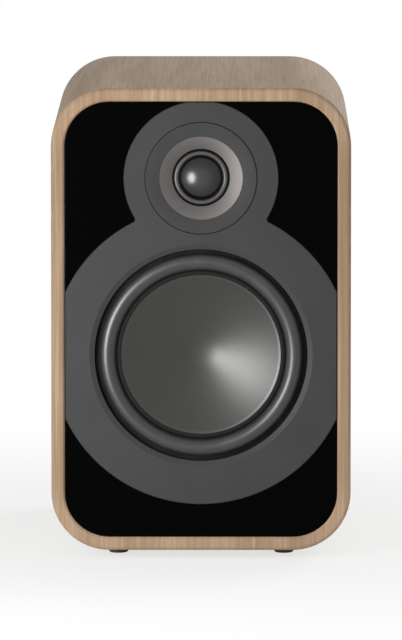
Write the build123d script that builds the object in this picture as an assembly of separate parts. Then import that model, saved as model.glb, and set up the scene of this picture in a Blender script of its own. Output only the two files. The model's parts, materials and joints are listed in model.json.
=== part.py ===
from build123d import *
import os
from math import atan2, cos, radians, sin, sqrt

# Bookshelf loudspeaker, two drive units, rear port. Millimetres.
# The front faces -Y and +Z is up. The origin is under the middle of the whole product, where it stands.
# Depths are counted from the plane of the front edge towards the back, heights from the cabinet's underside.

# cabinet
cab_width = 180.0
cab_height = 279.0
cab_depth = 256.0
corner_r = 35.0  # the four edges that run front to back
wall = 15.0
rim_width = 8.0  # edge of the box left showing round the front panel
front_edge_r = 2.5
rear_edge_r = 1.5
lip_chamfer = 1.0
glue = 0.1  # glue line round a board let into the box
rebate_depth = 7.0  # how far the baffle stands back from the front edge
baffle_thickness = 18.0
rear_thickness = 15.0
brace_setback = 144.0  # from the back of the box to the front of the window brace
brace_thickness = 12.0
brace_web = 16.0
brace_bar_height = 150.0
cutout_chamfer = 6.0  # relief behind the bass unit, at the back of the baffle

# feet and stand fixing
foot_r = 6.0
foot_height = 5.0
foot_edge_r = 1.6
foot_side_inset = 40.0
foot_end_inset = 30.0
insert_r = 4.5
insert_length = 13.0
insert_bore_r = 2.5  # tapped M6
insert_spacing_x = 60.0
insert_spacing_y = 60.0
past = 1.0  # how far a cutting body runs past the surface it opens

# front panel and driver trim
shadow_gap = 0.5
panel_setback = 1.5
trim_proud = 1.0
trim_thickness = 2.5
trim_edge = 0.4
trim_fit = 0.15
woofer_disc_r = 90.0
tweeter_disc_r = 46.4
neck_r = 2.0  # where the two discs of the trim run together
tweeter_drop = 54.2  # from the top of the box to the middle of the treble unit
driver_spacing = 106.8
magnet_disc_r = 4.0
magnet_disc_thickness = 3.0
magnet_disc_inset = 15.0  # from the baffle's side
magnet_disc_drop = 19.5  # from the baffle's top and bottom

# bass unit
cone_r = 50.0
cone_thickness = 0.8
cone_rim = 2.2
bowl_depth = 17.5
bowl_curve_r = 210.0  # the cone's profile is a shallow arc that runs into a small round middle
bowl_cap_r = 40.0
cone_gap = 1.0
cone_lap = 1.2  # how far the surround reaches in behind the cone's rim
roll_span = 10.5
roll_rise = 5.1
rubber = 0.9
groove_width = 2.5  # between the roll and the trim
trim_hole_chamfer = 3.0
trim_hole_bevel = 1.4
collar_wall = 1.5
collar_sink = 1.0  # from the trim's face to where its collar starts
collar_gap = 0.2  # between the collar and the surround's lip
lip_overlap = 1.2
flange_margin = 2.3
flange_thickness = 4.0
gasket_thickness = 0.8
lug_offset = 3.5
lug_r = 4.5
woofer_lugs = 4
basket_clearance = 1.5  # inside the baffle's opening
basket_wall = 3.0
basket_root = 0.8  # extra wall right under the flange
basket_taper = 1.5  # how much the wall has drawn in at the shoulder, outside
basket_step = 2.5  # and inside
basket_land = 1.0  # straight part of the bore inside the flange
spokes = 6
spoke_angle = 15.0
rib_thickness = 2.4
rib_reach = 6.5  # how far a spoke's fin stands out past the frame's back
rib_drop = 8.0  # from the shoulder to the fin's widest point
rib_sink = 0.6  # how far its edges are sunk into the wall
rib_root = 1.5
shoulder_drop = 4.0  # from the flange to where the spokes start
window_inset = 5.0
window_top_gap = 0.5
window_foot_gap = 1.5
window_corner_r = 3.0
landing_depth = 36.0  # ledge that carries the spider
landing_width = 7.5
landing_thickness = 2.5
basket_back_depth = 46.0
basket_back_r = 47.5
basket_base_thickness = 2.5
basket_hole_margin = 7.0  # round the coil former
vent_slots = 8
vent_slot_angle = 20.0
vent_slot_inset = 1.0
former_r = 17.0  # inside of the coil former
former_thickness = 0.4
coil_thickness = 0.8
coil_length = 12.0
former_tail = 8.0  # past the front of the top plate
gap_clearance = 0.6
spider_thickness = 0.6
spider_rolls = 8
spider_rise = 0.8
spider_bend_r = 0.8
spider_flat = 1.8
spider_end_gap = 0.6
plate_thickness = 5.0
plate_r = 40.0
magnet_r = 42.5
magnet_bore_r = 21.0
magnet_thickness = 15.0
yoke_thickness = 6.0
yoke_edge = 1.5
pole_vent_r = 5.0
pole_vent_edge = 2.0
pole_rise = 0.5  # how far the pole stands past the top plate
pole_edge = 1.0
magnet_edge = 1.0
tag_board_width = 20.0
tag_board_height = 7.0
tag_board_thickness = 1.6
tag_width = 4.8
tag_thickness = 0.8
tag_length = 8.0
tag_spacing = 10.0
tag_corner_r = 1.2
tag_setback = 5.0  # from the spider's ledge to the middle of the tag board
tag_pad_height = 1.5
tag_pad_length = 8.0
tag_foot_margin = 1.0

# treble unit
dome_r = 12.5
dome_rise = 4.2
dome_thickness = 0.4
dome_edge_depth = 6.3
small_roll_span = 4.4
small_roll_rise = 1.9
small_lip = 2.4
small_film = 0.4
small_foot = 0.7
waveguide_throat_r = 17.3
waveguide_throat_gap = 1.1  # from the throat's edge to the level of the dome's foot
waveguide_bow = (0.6, 0.55)  # how far the flare's middle stands off a straight line, outwards and forwards
waveguide_seam = 0.1
waveguide_back = (3.2, 0.5)  # bend of its back, in from the mouth and behind the wall
waveguide_mouth_r = 25.0
waveguide_thickness = 1.2
face_r = 33.6
face_dish = 0.9
face_lead = (1.0, 0.15)  # short straight beside the flare's mouth
face_edge = 0.4
face_gap = 0.3
face_back_step = 0.6
face_bore_step = 1.0
face_bore_run = 3.0
tweeter_flange_r = 36.5
tweeter_flange_thickness = 3.0
tweeter_lugs = 4
tweeter_lug_offset = 3.5
tweeter_gasket_thickness = 1.0
tweeter_sink = 0.2  # of the flange below the front of the baffle
tweeter_plate_r = 29.5
tweeter_plate_thickness = 4.0
tweeter_plate_edge = 0.4
tweeter_plate_room = 1.5  # round the top plate, in the baffle and its gasket
tweeter_magnet_r = 28.0
tweeter_magnet_thickness = 8.0
tweeter_magnet_edge = 0.8
tweeter_magnet_bore = 3.0  # its bore is this much wider than the top plate's
tweeter_yoke_thickness = 4.0
tweeter_yoke_step = 1.0  # smaller than the magnet all round
small_coil_thickness = 0.5
small_coil_length = 4.2
small_gap = 0.45
small_coil_lap = 0.3  # of the coil inside the dome's edge
small_pole_drop = 0.4
small_pole_edge = 0.5
small_lip_gap = 0.15
small_vent_r = 4.0
chamber_length = 26.0
chamber_wall = 2.0
chamber_edge_r = 5.0

# screws
screw_r = 1.75
screw_head_r = 3.3
screw_head_depth = 1.9
screw_head_edge = 0.4
screw_tip_room = 0.5
screw_length = 17.0
screw_fit = 0.05
hex_key = 2.5  # across the flats
hex_depth = 1.2

# port
port_drop = 73.0  # from the top of the box
port_r = 19.0
port_wall = 2.5
port_length = 100.0
port_mouth_flare = 15.0
port_inner_flare = 6.0
port_flange_r = 38.0
port_flange_thickness = 3.0
port_root = 2.0

# terminal plate and binding posts
terminal_height = 66.0
terminal_width = 100.0
terminal_tall = 70.0
terminal_corner_r = 16.0
terminal_flange = 3.0
terminal_edge = 0.6
dish_width = 74.0
dish_tall = 44.0
dish_corner_r = 12.0
dish_depth = 7.5
dish_draft = 3.0
dish_wall = 2.5
terminal_screw_inset = 9.0
terminal_screw_length = 14.0
post_spacing = 19.05
stud_r = 3.9
stud_collar_r = 5.6
stud_collar = 1.5
stud_edge = 0.5
banana_r = 2.0
banana_depth = 11.5
wire_hole_r = 1.6
wire_hole_rise = 2.2
bush_r = 7.6
bush_height = 4.0
bush_edge = 0.6
washer_r = 6.2
washer_thickness = 1.0
washer_edge = 0.2
washer_lift = 0.1
running_gap = 0.08
knob_r = 7.6
knob_length = 18.0
knob_mouth_chamfer = 0.5
knob_flutes = 14
flute_r = 1.1
flute_shift = 0.45  # of its radius, outside the knob's own surface
flute_margin = 2.5
knob_edge = 0.8
mark_inner_r = 4.9
mark_outer_r = 6.3
mark_depth = 0.8
stud_tip_gap = 1.2
nut_flats = 13.0
nut_thickness = 4.0
stud_tail = 1.5
tag_ring_r = 6.5
tag_ring_thickness = 0.8
tag_ring_reach = 14.0
tag_neck = 4.0
tag_eye_r = 2.6
tag_eye_hole_r = 1.2

# crossover
board_side_gap = 21.0  # from the inside of each wall
board_depth = 78.0
board_thickness = 1.6
board_rear_gap = 26.0  # from the rear panel
board_margin = 6.0
board_corner_r = 3.0
standoff_height = 8.0
standoff_r = 3.5
standoff_peg_r = 1.5
standoff_head_r = 2.2
standoff_head = 1.2
standoff_foot = (1.0, 1.2)  # how much wider it is, and how thick
standoff_barb = 0.3
standoff_inset = 6.0
bass_coil_r = 20.0
bass_coil_bore_r = 9.0
bass_coil_height = 16.0
treble_coil_r = 13.0
treble_coil_bore_r = 6.0
treble_coil_height = 12.0
treble_coil_inset = 2.0
cap_r = 8.0
cap_length = 34.0
small_cap_r = 5.5
small_cap_length = 24.0
resistor_length = 25.0
resistor_side = 9.0
part_edge = 1.0

# damping
wadding_thickness = 12.0
wadding_gap = 0.3
wadding_front_gap = 3.0
wadding_rear_gap = 8.0
wadding_skirt = 140.0  # how far each side hangs down from the top

# ---- what follows from the sizes above ----
knob_rise = bush_height + stud_collar + 2 * washer_lift + washer_thickness  # over the dish's floor
post_reach = knob_rise + knob_length - dish_depth
front_y = -(cab_depth + post_reach) / 2
base_z = foot_height
middle_z = base_z + cab_height / 2
tweeter_z = base_z + cab_height - tweeter_drop
woofer_z = tweeter_z - driver_spacing
port_z = base_z + cab_height - port_drop
terminal_z = base_z + terminal_height
inner_width = cab_width - 2 * wall
inner_height = cab_height - 2 * wall
inner_r = corner_r - wall
floor_z = base_z + wall
brace_depth = cab_depth - brace_setback
rear_inside = cab_depth - rear_thickness
board_width = inner_width - 2 * board_side_gap
board_front = rear_inside - board_rear_gap - board_depth
wadding_front = brace_depth + brace_thickness + wadding_front_gap
wadding_back = rear_inside - wadding_rear_gap
panel_width = cab_width - 2 * rim_width - 2 * shadow_gap
panel_height = cab_height - 2 * rim_width - 2 * shadow_gap
panel_r = corner_r - rim_width - shadow_gap
trim_front = panel_setback - trim_proud
trim_back = trim_front + trim_thickness

roll_in = cone_r + cone_gap
roll_out = roll_in + roll_span
roll_mid = (roll_in + roll_out) / 2
trim_hole_r = roll_out + groove_width
collar_r = trim_hole_r + collar_wall
lip_out = trim_hole_r + lip_overlap
flange_r = lip_out + flange_margin
lip_front = rebate_depth - glue - rubber
bowl_end_r = cone_r - cone_rim
bowl_chord = sqrt(bowl_end_r**2 + bowl_depth**2)
bowl_reach = sqrt(bowl_curve_r**2 - bowl_chord**2 / 4) / bowl_chord
bowl_centre_r = bowl_end_r / 2 - bowl_depth * bowl_reach
bowl_centre = lip_front + bowl_depth / 2 - bowl_end_r * bowl_reach
cap_centre = bowl_centre + sqrt((bowl_curve_r - bowl_cap_r) ** 2 - bowl_centre_r**2)
cap_angle = atan2(-bowl_centre_r, cap_centre - bowl_centre)
flange_back = rebate_depth + flange_thickness
former_out = former_r + former_thickness
coil_out = former_out + coil_thickness
plate_bore_r = coil_out + gap_clearance
pole_r = former_r - gap_clearance
plate_back = basket_back_depth + plate_thickness
magnet_back = plate_back + magnet_thickness
basket_wall_in = basket_back_r - basket_wall
landing_in = basket_wall_in - landing_width
cutout_r = flange_r - flange_margin - lip_overlap - groove_width

face_front = trim_front
face_hole_r = face_r + face_gap
tweeter_flange_front = rebate_depth + tweeter_sink
tweeter_flange_back = tweeter_flange_front + tweeter_flange_thickness
tweeter_recess = tweeter_flange_back + tweeter_gasket_thickness
small_lip_out = waveguide_throat_r - small_lip_gap + small_lip
small_plate_front = dome_edge_depth + small_film + glue
small_plate_back = small_plate_front + tweeter_plate_thickness
small_magnet_back = small_plate_back + tweeter_magnet_thickness
small_yoke_back = small_magnet_back + tweeter_yoke_thickness
small_coil_in = dome_r - small_coil_lap
small_coil_out = small_coil_in + small_coil_thickness
small_bore_r = small_coil_out + small_gap
small_pole_r = small_coil_in - small_gap
small_yoke_r = tweeter_magnet_r - tweeter_yoke_step

dish_floor = cab_depth - dish_depth
dish_back = dish_floor - dish_wall
bush_top = dish_floor + bush_height
collar_top = bush_top + stud_collar
washer_base = collar_top + washer_lift
knob_base = dish_floor + knob_rise
knob_tip = knob_base + knob_length
stud_tip = knob_tip - stud_tip_gap
tag_ring_front = dish_back - tag_ring_thickness
nut_front = tag_ring_front - nut_thickness
posts = {"red": -post_spacing / 2, "black": post_spacing / 2}


def at(depth=0.0, x=0.0, z=0.0):
    return Pos(x, front_y + depth, z)


def standing(edges):
    """Half a profile, x the radius and y the height, revolved about a vertical axis."""
    return revolve(make_face(Plane.XZ * make_face(edges)), axis=Axis.Z)


def upright(radius, height):
    """A cylinder standing on the origin."""
    return Cylinder(radius, height, align=(Align.CENTER, Align.CENTER, Align.MIN))


def box_on(face, x, y, z, *size):
    """A block whose top or bottom face, centre at x, y, z, is given and which has this size."""
    return Pos(x, y, z) * Box(*size, align=(Align.CENTER, Align.CENTER, face))


def slab(sketch, near, far, z):
    """A flat outline seen from the front, extruded between two depths, its centre at height z."""
    return at(far, z=z) * extrude(Plane.XZ * sketch, amount=far - near)


def turned(*edges):
    """Half a profile, x the radius and y the depth, revolved about the driver's axis."""
    return revolve(make_face(edges), axis=Axis.Y)


def ring(inner, outer, near, far):
    return turned(Polyline((inner, near), (outer, near), (outer, far), (inner, far), close=True).edges())


def ring_round(angle_from, count, radius):
    """Positions round a circle in the plane of the front."""
    for k in range(count):
        a = radians(angle_from + 360 * k / count)
        yield radius * cos(a), radius * sin(a)


def lugged(radius, lug_reach, count, angle_from, grow=0.0):
    """Round flange outline with a rounded lug for each fixing screw."""
    shape = Circle(radius + grow)
    for x, z in ring_round(angle_from, count, radius + lug_reach):
        shape += Pos(x, z) * Circle(lug_r + grow)
    return shape


def snowman(near, far, grow=0.0):
    """The trim's form: one disc round each drive unit, run together."""
    low = Pos(0, woofer_z - middle_z) * Circle(woofer_disc_r + grow)
    high = Pos(0, tweeter_z - middle_z) * Circle(tweeter_disc_r + grow)
    discs = slab(low + high, near, far, middle_z)
    return fillet(discs.edges().filter_by(Axis.Y), neck_r)


def csk_screw(length):
    """Countersunk screw with a hexagon socket, head flush with depth 0, pointing back."""
    body = turned(
        Polyline(
            (0, 0), (screw_head_r, 0), (screw_head_r, screw_head_edge), (screw_r, screw_head_depth),
            (screw_r, length - 2 * screw_r), (0, length), close=True,
        ).edges()
    )
    socket = extrude(Plane.XZ * RegularPolygon(hex_key / 2, 6, major_radius=False), amount=-hex_depth)
    return body - socket


def csk_hole(length):
    head, edge = screw_head_r + screw_fit, screw_head_edge + screw_fit
    shank, end = screw_r + screw_fit, length + screw_tip_room
    return turned(
        Polyline(
            (0, -past), (head, -past), (head, edge), (shank, screw_head_depth + screw_fit), (shank, end),
            (0, end), close=True,
        ).edges()
    )


# ---- cabinet ----
def cabinet_shell():
    box = slab(RectangleRounded(cab_width, cab_height, corner_r), 0, cab_depth, middle_z)
    box = fillet(box.faces().sort_by(Axis.Y)[0].edges(), front_edge_r)
    box = fillet(box.faces().sort_by(Axis.Y)[-1].edges(), rear_edge_r)
    box -= slab(RectangleRounded(inner_width, inner_height, inner_r), -past, cab_depth + past, middle_z)
    opening = RectangleRounded(cab_width - 2 * rim_width, cab_height - 2 * rim_width, corner_r - rim_width)
    box -= slab(opening, -past, rebate_depth, middle_z)
    lip = box.faces().sort_by(Axis.Y)[0].inner_wires()[0]
    box = chamfer(lip.edges(), lip_chamfer)
    for spot in insert_spots():
        box -= spot * upright(insert_r + screw_fit, insert_length)
    return box


def insert_spots():
    for x in (-insert_spacing_x / 2, insert_spacing_x / 2):
        for y in (-insert_spacing_y / 2, insert_spacing_y / 2):
            yield at(cab_depth / 2 + y, x, base_z)


def stand_inserts():
    tube = upright(insert_r, insert_length) - upright(insert_bore_r, insert_length)
    return [spot * tube for spot in insert_spots()]


def magnet_spots():
    for x in (-1, 1):
        for z in (-1, 1):
            yield (
                x * (inner_width / 2 - magnet_disc_inset),
                middle_z + z * (inner_height / 2 - magnet_disc_drop),
            )


def board_in_box(near, far):
    outline = RectangleRounded(inner_width - 2 * glue, inner_height - 2 * glue, inner_r - glue)
    return slab(outline, near, far, middle_z)


def woofer_flange_outline(grow=0.0):
    return lugged(flange_r, lug_offset, woofer_lugs, 45, grow)


def tweeter_flange_outline(grow=0.0):
    return lugged(tweeter_flange_r, tweeter_lug_offset, tweeter_lugs, 45, grow)


def front_baffle():
    back = rebate_depth + baffle_thickness
    board = board_in_box(rebate_depth, back)
    recess = flange_back + gasket_thickness
    board -= slab(woofer_flange_outline(face_gap), rebate_depth - past, recess, woofer_z)
    board -= at(0, z=woofer_z) * turned(
        Polyline(
            (0, 0), (cutout_r, 0), (cutout_r, back - cutout_chamfer), (cutout_r + cutout_chamfer, back),
            (0, back), close=True,
        ).edges()
    )
    board -= slab(tweeter_flange_outline(face_gap), rebate_depth - past, tweeter_recess, tweeter_z)
    board -= slab(Circle(tweeter_plate_r + tweeter_plate_room), 0, back, tweeter_z)
    for x, z in ring_round(45, woofer_lugs, flange_r + lug_offset):
        board -= at(rebate_depth, x, woofer_z + z) * csk_hole(screw_length)
    for x, z in ring_round(45, tweeter_lugs, tweeter_flange_r + tweeter_lug_offset):
        board -= at(tweeter_flange_front, x, tweeter_z + z) * csk_hole(screw_length)
    for x, z in magnet_spots():
        board -= at(rebate_depth, x, z) * ring(0, magnet_disc_r + screw_fit, -past, magnet_disc_thickness)
    return board


def grille_magnets():
    disc = ring(0, magnet_disc_r, 0, magnet_disc_thickness)
    return [at(rebate_depth, x, z) * disc for x, z in magnet_spots()]


def rear_panel():
    board = board_in_box(rear_inside, cab_depth)
    board -= slab(Circle(port_flange_r + glue), cab_depth - port_flange_thickness, cab_depth + past, port_z)
    board -= slab(Circle(port_r + port_mouth_flare + face_gap), 0, cab_depth + past, port_z)
    seat = RectangleRounded(terminal_width + 2 * glue, terminal_tall + 2 * glue, terminal_corner_r + glue)
    board -= slab(seat, cab_depth - terminal_flange, cab_depth + past, terminal_z)
    well = RectangleRounded(
        dish_width + 2 * (dish_wall + face_gap), dish_tall + 2 * (dish_wall + face_gap),
        dish_corner_r + dish_wall + face_gap,
    )
    board -= slab(well, 0, cab_depth + past, terminal_z)
    for x, z in terminal_screw_spots():
        board -= at(cab_depth, x, z) * Rot(0, 0, 180) * csk_hole(terminal_screw_length)
    return board


def window_brace():
    board = board_in_box(brace_depth, brace_depth + brace_thickness)
    span = inner_width - 2 * brace_web
    low, high = floor_z + brace_web, floor_z + inner_height - brace_web
    split = base_z + brace_bar_height
    for bottom, top in ((low, split - brace_web / 2), (split + brace_web / 2, high)):
        window = RectangleRounded(span, top - bottom, brace_web)
        board -= slab(window, 0, cab_depth, (bottom + top) / 2)
    return board


def wadding():
    """Soft lining, an upside-down U behind the brace: over the top and down both sides."""
    wide, tall = inner_width - 2 * wadding_gap, inner_height - 2 * wadding_gap
    outer = RectangleRounded(wide, tall, inner_r - wadding_gap)
    inner = RectangleRounded(
        wide - 2 * wadding_thickness, tall - 2 * wadding_thickness,
        inner_r - wadding_gap - wadding_thickness / 2,
    )
    keep = Pos(0, tall / 2) * Rectangle(wide, 2 * wadding_skirt)
    return slab((outer - inner) & keep, wadding_front, wadding_back, middle_z)


def rubber_foot(side, end):
    edges = (
        Polyline((0, 0), (foot_r - foot_edge_r, 0)).edges()
        + RadiusArc((foot_r - foot_edge_r, 0), (foot_r, foot_edge_r), -foot_edge_r).edges()
        + Polyline((foot_r, foot_edge_r), (foot_r, foot_height), (0, foot_height), (0, 0)).edges()
    )
    foot = standing(edges)
    depth = foot_end_inset if end < 0 else cab_depth - foot_end_inset
    return at(depth, side * (cab_width / 2 - foot_side_inset)) * foot


# ---- front panel and trim ----
def front_panel():
    sheet = slab(RectangleRounded(panel_width, panel_height, panel_r), panel_setback, rebate_depth, middle_z)
    sheet = fillet(sheet.faces().sort_by(Axis.Y)[0].edges(), trim_edge)
    sheet -= snowman(0, trim_back, trim_fit)
    sheet -= slab(Circle(collar_r + face_gap), 0, cab_depth, woofer_z)
    return sheet - slab(Circle(face_hole_r + face_gap), 0, cab_depth, tweeter_z)


def driver_trim():
    outline = RectangleRounded(panel_width, panel_height, panel_r)
    trim = snowman(trim_front, trim_back) & slab(outline, trim_front, trim_back, middle_z)
    trim = chamfer(trim.faces().sort_by(Axis.Y)[0].edges(), trim_edge)
    trim += at(z=woofer_z) * ring(trim_hole_r, collar_r, trim_front + collar_sink, lip_front - collar_gap)
    bevel = Polyline(
        (0, trim_front - past), (trim_hole_r + trim_hole_chamfer, trim_front - past),
        (trim_hole_r + trim_hole_chamfer, trim_front), (trim_hole_r, trim_front + trim_hole_bevel),
        (trim_hole_r, rebate_depth), (0, rebate_depth), close=True,
    )
    trim -= at(z=woofer_z) * turned(bevel.edges())
    return trim - slab(Circle(face_hole_r), 0, rebate_depth, tweeter_z)


# ---- bass unit ----
def at_woofer(solid):
    return at(z=woofer_z) * solid


def arc(start, middle, end):
    return ThreePointArc(start, middle, end)


def bowl_point(radius, skin):
    """A point of the cone's front (skin 0) or back (skin = thickness) at this radius."""
    return radius, bowl_centre + sqrt((bowl_curve_r + skin) ** 2 - (radius - bowl_centre_r) ** 2)


def cap_point(angle, skin):
    return (bowl_cap_r + skin) * sin(angle), cap_centre + (bowl_cap_r + skin) * cos(angle)


def bowl_arcs(edge_r, skin):
    """The cone's profile from its middle out: the small round cap, then the long shallow arc."""
    join = cap_point(cap_angle, skin)
    return [
        arc(cap_point(0, skin), cap_point(cap_angle / 2, skin), join),
        arc(join, bowl_point((join[0] + edge_r) / 2, skin), bowl_point(edge_r, skin)),
    ]


def woofer_cone():
    back_edge = lip_front + cone_thickness
    back_r = bowl_centre_r + sqrt((bowl_curve_r + cone_thickness) ** 2 - (back_edge - bowl_centre) ** 2)
    rim = Polyline((bowl_end_r, lip_front), (cone_r, lip_front), (cone_r, back_edge), (back_r, back_edge))
    axis = Line(cap_point(0, cone_thickness), cap_point(0, 0))
    return at_woofer(turned(*bowl_arcs(bowl_end_r, 0), rim, *bowl_arcs(back_r, cone_thickness), axis))


def woofer_surround():
    near_in = lip_front + cone_thickness + glue
    lip_in = cone_r - cone_lap
    crest = lip_front - roll_rise
    top = Polyline((lip_in, near_in), (roll_in, near_in))
    roll = arc((roll_in, near_in), (roll_mid, crest), (roll_out, lip_front))
    outer = Polyline(
        (roll_out, lip_front), (lip_out, lip_front), (lip_out, lip_front + rubber),
        (roll_out - rubber, lip_front + rubber),
    )
    under = arc(
        (roll_out - rubber, lip_front + rubber), (roll_mid, crest + rubber),
        (roll_in + rubber, near_in + rubber),
    )
    end = Polyline((roll_in + rubber, near_in + rubber), (lip_in, near_in + rubber), (lip_in, near_in))
    return at_woofer(turned(top, roll, outer, under, end))


def coil_former():
    seat = bowl_point(former_r, cone_thickness)[1]
    return at_woofer(ring(former_r, former_out, seat, basket_back_depth + former_tail))


def voice_coil():
    near = basket_back_depth + plate_thickness / 2 - coil_length / 2
    return at_woofer(ring(former_out + screw_fit, coil_out, near, near + coil_length))


def spider():
    """Corrugated disc from the former out to the landing: rounded rolls, alternately up and down."""
    level = landing_depth - glue - spider_thickness / 2
    first = former_out + glue + spider_flat
    pitch = (landing_in - spider_end_gap - first) / spider_rolls
    crests = [
        (first + (k + 0.5) * pitch, level + (spider_rise if k % 2 else -spider_rise))
        for k in range(spider_rolls)
    ]
    line = FilletPolyline(
        (former_out + glue, level), (first, level), *crests, (landing_in - spider_end_gap, level),
        (landing_in + landing_width - face_gap, level), radius=spider_bend_r,
    )
    return at_woofer(revolve(trace(line, spider_thickness), Axis.Y))


def sector(inner, outer, width_deg, middle_deg):
    half = radians(width_deg / 2)
    a0, a1, mid = radians(middle_deg) - half, radians(middle_deg) + half, radians(middle_deg)

    def p(r, a):
        return r * cos(a), r * sin(a)

    return make_face(
        [
            Line(p(inner, a0), p(outer, a0)), ThreePointArc(p(outer, a0), p(outer, mid), p(outer, a1)),
            Line(p(outer, a1), p(inner, a1)), ThreePointArc(p(inner, a1), p(inner, mid), p(inner, a0)),
        ]
    )


def basket_profile(bore, wall_out, shoulder):
    """Section of the frame from the flange down the wall to the spider's ledge and the magnet's base."""
    hole_r, base = former_out + basket_hole_margin, basket_back_depth - basket_base_thickness
    ledge = landing_depth + landing_thickness
    return Polyline(
        (bore, rebate_depth), (flange_r, rebate_depth), (flange_r, flange_back),
        (wall_out + basket_root, flange_back), (wall_out - basket_taper, shoulder),
        (basket_back_r, landing_depth), (basket_back_r, basket_back_depth), (hole_r, basket_back_depth),
        (hole_r, base), (basket_wall_in, base), (basket_wall_in, ledge), (landing_in, ledge),
        (landing_in, landing_depth), (basket_wall_in, landing_depth),
        (wall_out - basket_wall - basket_step, shoulder), (bore, flange_back - basket_land), close=True,
    ).edges()


def facing(sketch, near, far):
    """An outline about a driver's own axis, extruded between two depths."""
    return at(0).inverse() * slab(sketch, near, far, 0)


def woofer_basket():
    """Cast frame: lugged flange, six ribbed spokes, the spider's ledge and the base that takes the magnet."""
    wall_out = cutout_r - basket_clearance
    shoulder = flange_back + shoulder_drop
    frame = turned(*basket_profile(cutout_r - basket_wall, wall_out, shoulder))
    for k in range(spokes):
        middle = 90 + 360 * (k + 0.5) / spokes
        window = sector(landing_in - window_inset, flange_r, 360 / spokes - spoke_angle, middle)
        window = fillet(window.vertices(), window_corner_r)
        frame -= facing(window, shoulder + window_top_gap, landing_depth - window_foot_gap)
    for k in range(vent_slots):
        slot = sector(landing_in + vent_slot_inset, flange_r, vent_slot_angle, 90 + 360 * k / vent_slots)
        frame -= facing(slot, landing_depth + landing_thickness, basket_back_depth - basket_base_thickness)
    for k in range(spokes):
        frame += Rot(0, 360 * k / spokes, 0) * spoke_rib(wall_out, shoulder)
    lugs = facing(woofer_flange_outline(), rebate_depth, flange_back)
    frame += lugs - ring(0, flange_r - past, 0, cab_depth)
    frame += tag_pad() & ring(basket_back_r - past, cab_depth, 0, cab_depth)
    for x, z in ring_round(45, woofer_lugs, flange_r + lug_offset):
        frame -= Pos(x, rebate_depth, z) * csk_hole(screw_length)
    return at_woofer(frame)


def spoke_rib(wall_out, shoulder):
    """Fin along the outside of a spoke, deepest in the middle."""
    near_out = wall_out - basket_taper
    fin = Polyline(
        (near_out - rib_root / 2, shoulder), (basket_back_r + rib_reach, shoulder + rib_drop),
        (basket_back_r + rib_reach / 2, landing_depth - rib_drop / 2),
        (basket_back_r - rib_sink, landing_depth + landing_thickness + rib_sink),
        (basket_back_r - rib_root, landing_depth), (near_out - basket_step, shoulder), close=True,
    )
    return extrude(make_face(fin.edges()), amount=rib_thickness / 2, both=True)


def tag_pad():
    """Flat seat for the tag board on the lowest side of the frame's back."""
    seat = landing_depth + tag_setback
    return Pos(0, seat, -basket_back_r) * Box(tag_board_width, tag_pad_length, 2 * tag_pad_height)


def woofer_terminals():
    """Small board with two blades that the leads from the crossover push on to."""
    low, seat = -basket_back_r - tag_pad_height, landing_depth + tag_setback
    board = box_on(Align.MAX, 0, seat, low, tag_board_width, tag_board_height, tag_board_thickness)
    under, wide = low - tag_board_thickness, tag_board_height - tag_foot_margin
    for x in (-tag_spacing / 2, tag_spacing / 2):
        board += box_on(Align.MAX, x, seat, under, tag_width, wide, tag_thickness)
        blade = box_on(
            Align.MIN, x, seat + tag_length / 2, under - tag_thickness, tag_width, tag_length, tag_thickness
        )
        board += fillet(blade.edges().filter_by(Axis.Z).sort_by(Axis.Y)[-2:], tag_corner_r)
    return at_woofer(board)


def woofer_gasket():
    outline = woofer_flange_outline() - Circle(cutout_r)
    for x, z in ring_round(45, woofer_lugs, flange_r + lug_offset):
        outline -= Pos(x, z) * Circle(screw_r + screw_fit)
    return slab(outline, flange_back, flange_back + gasket_thickness, woofer_z)


def woofer_screws():
    return [
        at(rebate_depth, x, woofer_z + z) * csk_screw(screw_length)
        for x, z in ring_round(45, woofer_lugs, flange_r + lug_offset)
    ]


def chamfered_ring(inner, outer, near, far, edge):
    body = ring(inner, outer, near, far)
    rims = [e for e in body.edges() if e.geom_type == GeomType.CIRCLE and e.radius > outer - 0.01]
    return chamfer(rims, edge)


def woofer_top_plate():
    return at_woofer(chamfered_ring(plate_bore_r, plate_r, basket_back_depth, plate_back, magnet_edge / 2))


def woofer_magnet():
    return at_woofer(chamfered_ring(magnet_bore_r, magnet_r, plate_back, magnet_back, magnet_edge))


def woofer_yoke():
    """Back plate with the pole in one piece, vented through the middle."""
    far = magnet_back + yoke_thickness
    top = basket_back_depth - pole_rise
    return at_woofer(turned(
        Polyline(
            (pole_vent_r, top), (pole_r - pole_edge, top), (pole_r, top + pole_edge), (pole_r, magnet_back),
            (plate_r, magnet_back), (plate_r, far - yoke_edge), (plate_r - yoke_edge, far),
            (pole_vent_r + pole_vent_edge, far), (pole_vent_r, far - pole_vent_edge), close=True,
        ).edges()
    ))


# ---- treble unit ----
def at_tweeter(solid):
    return at(z=tweeter_z) * solid


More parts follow.
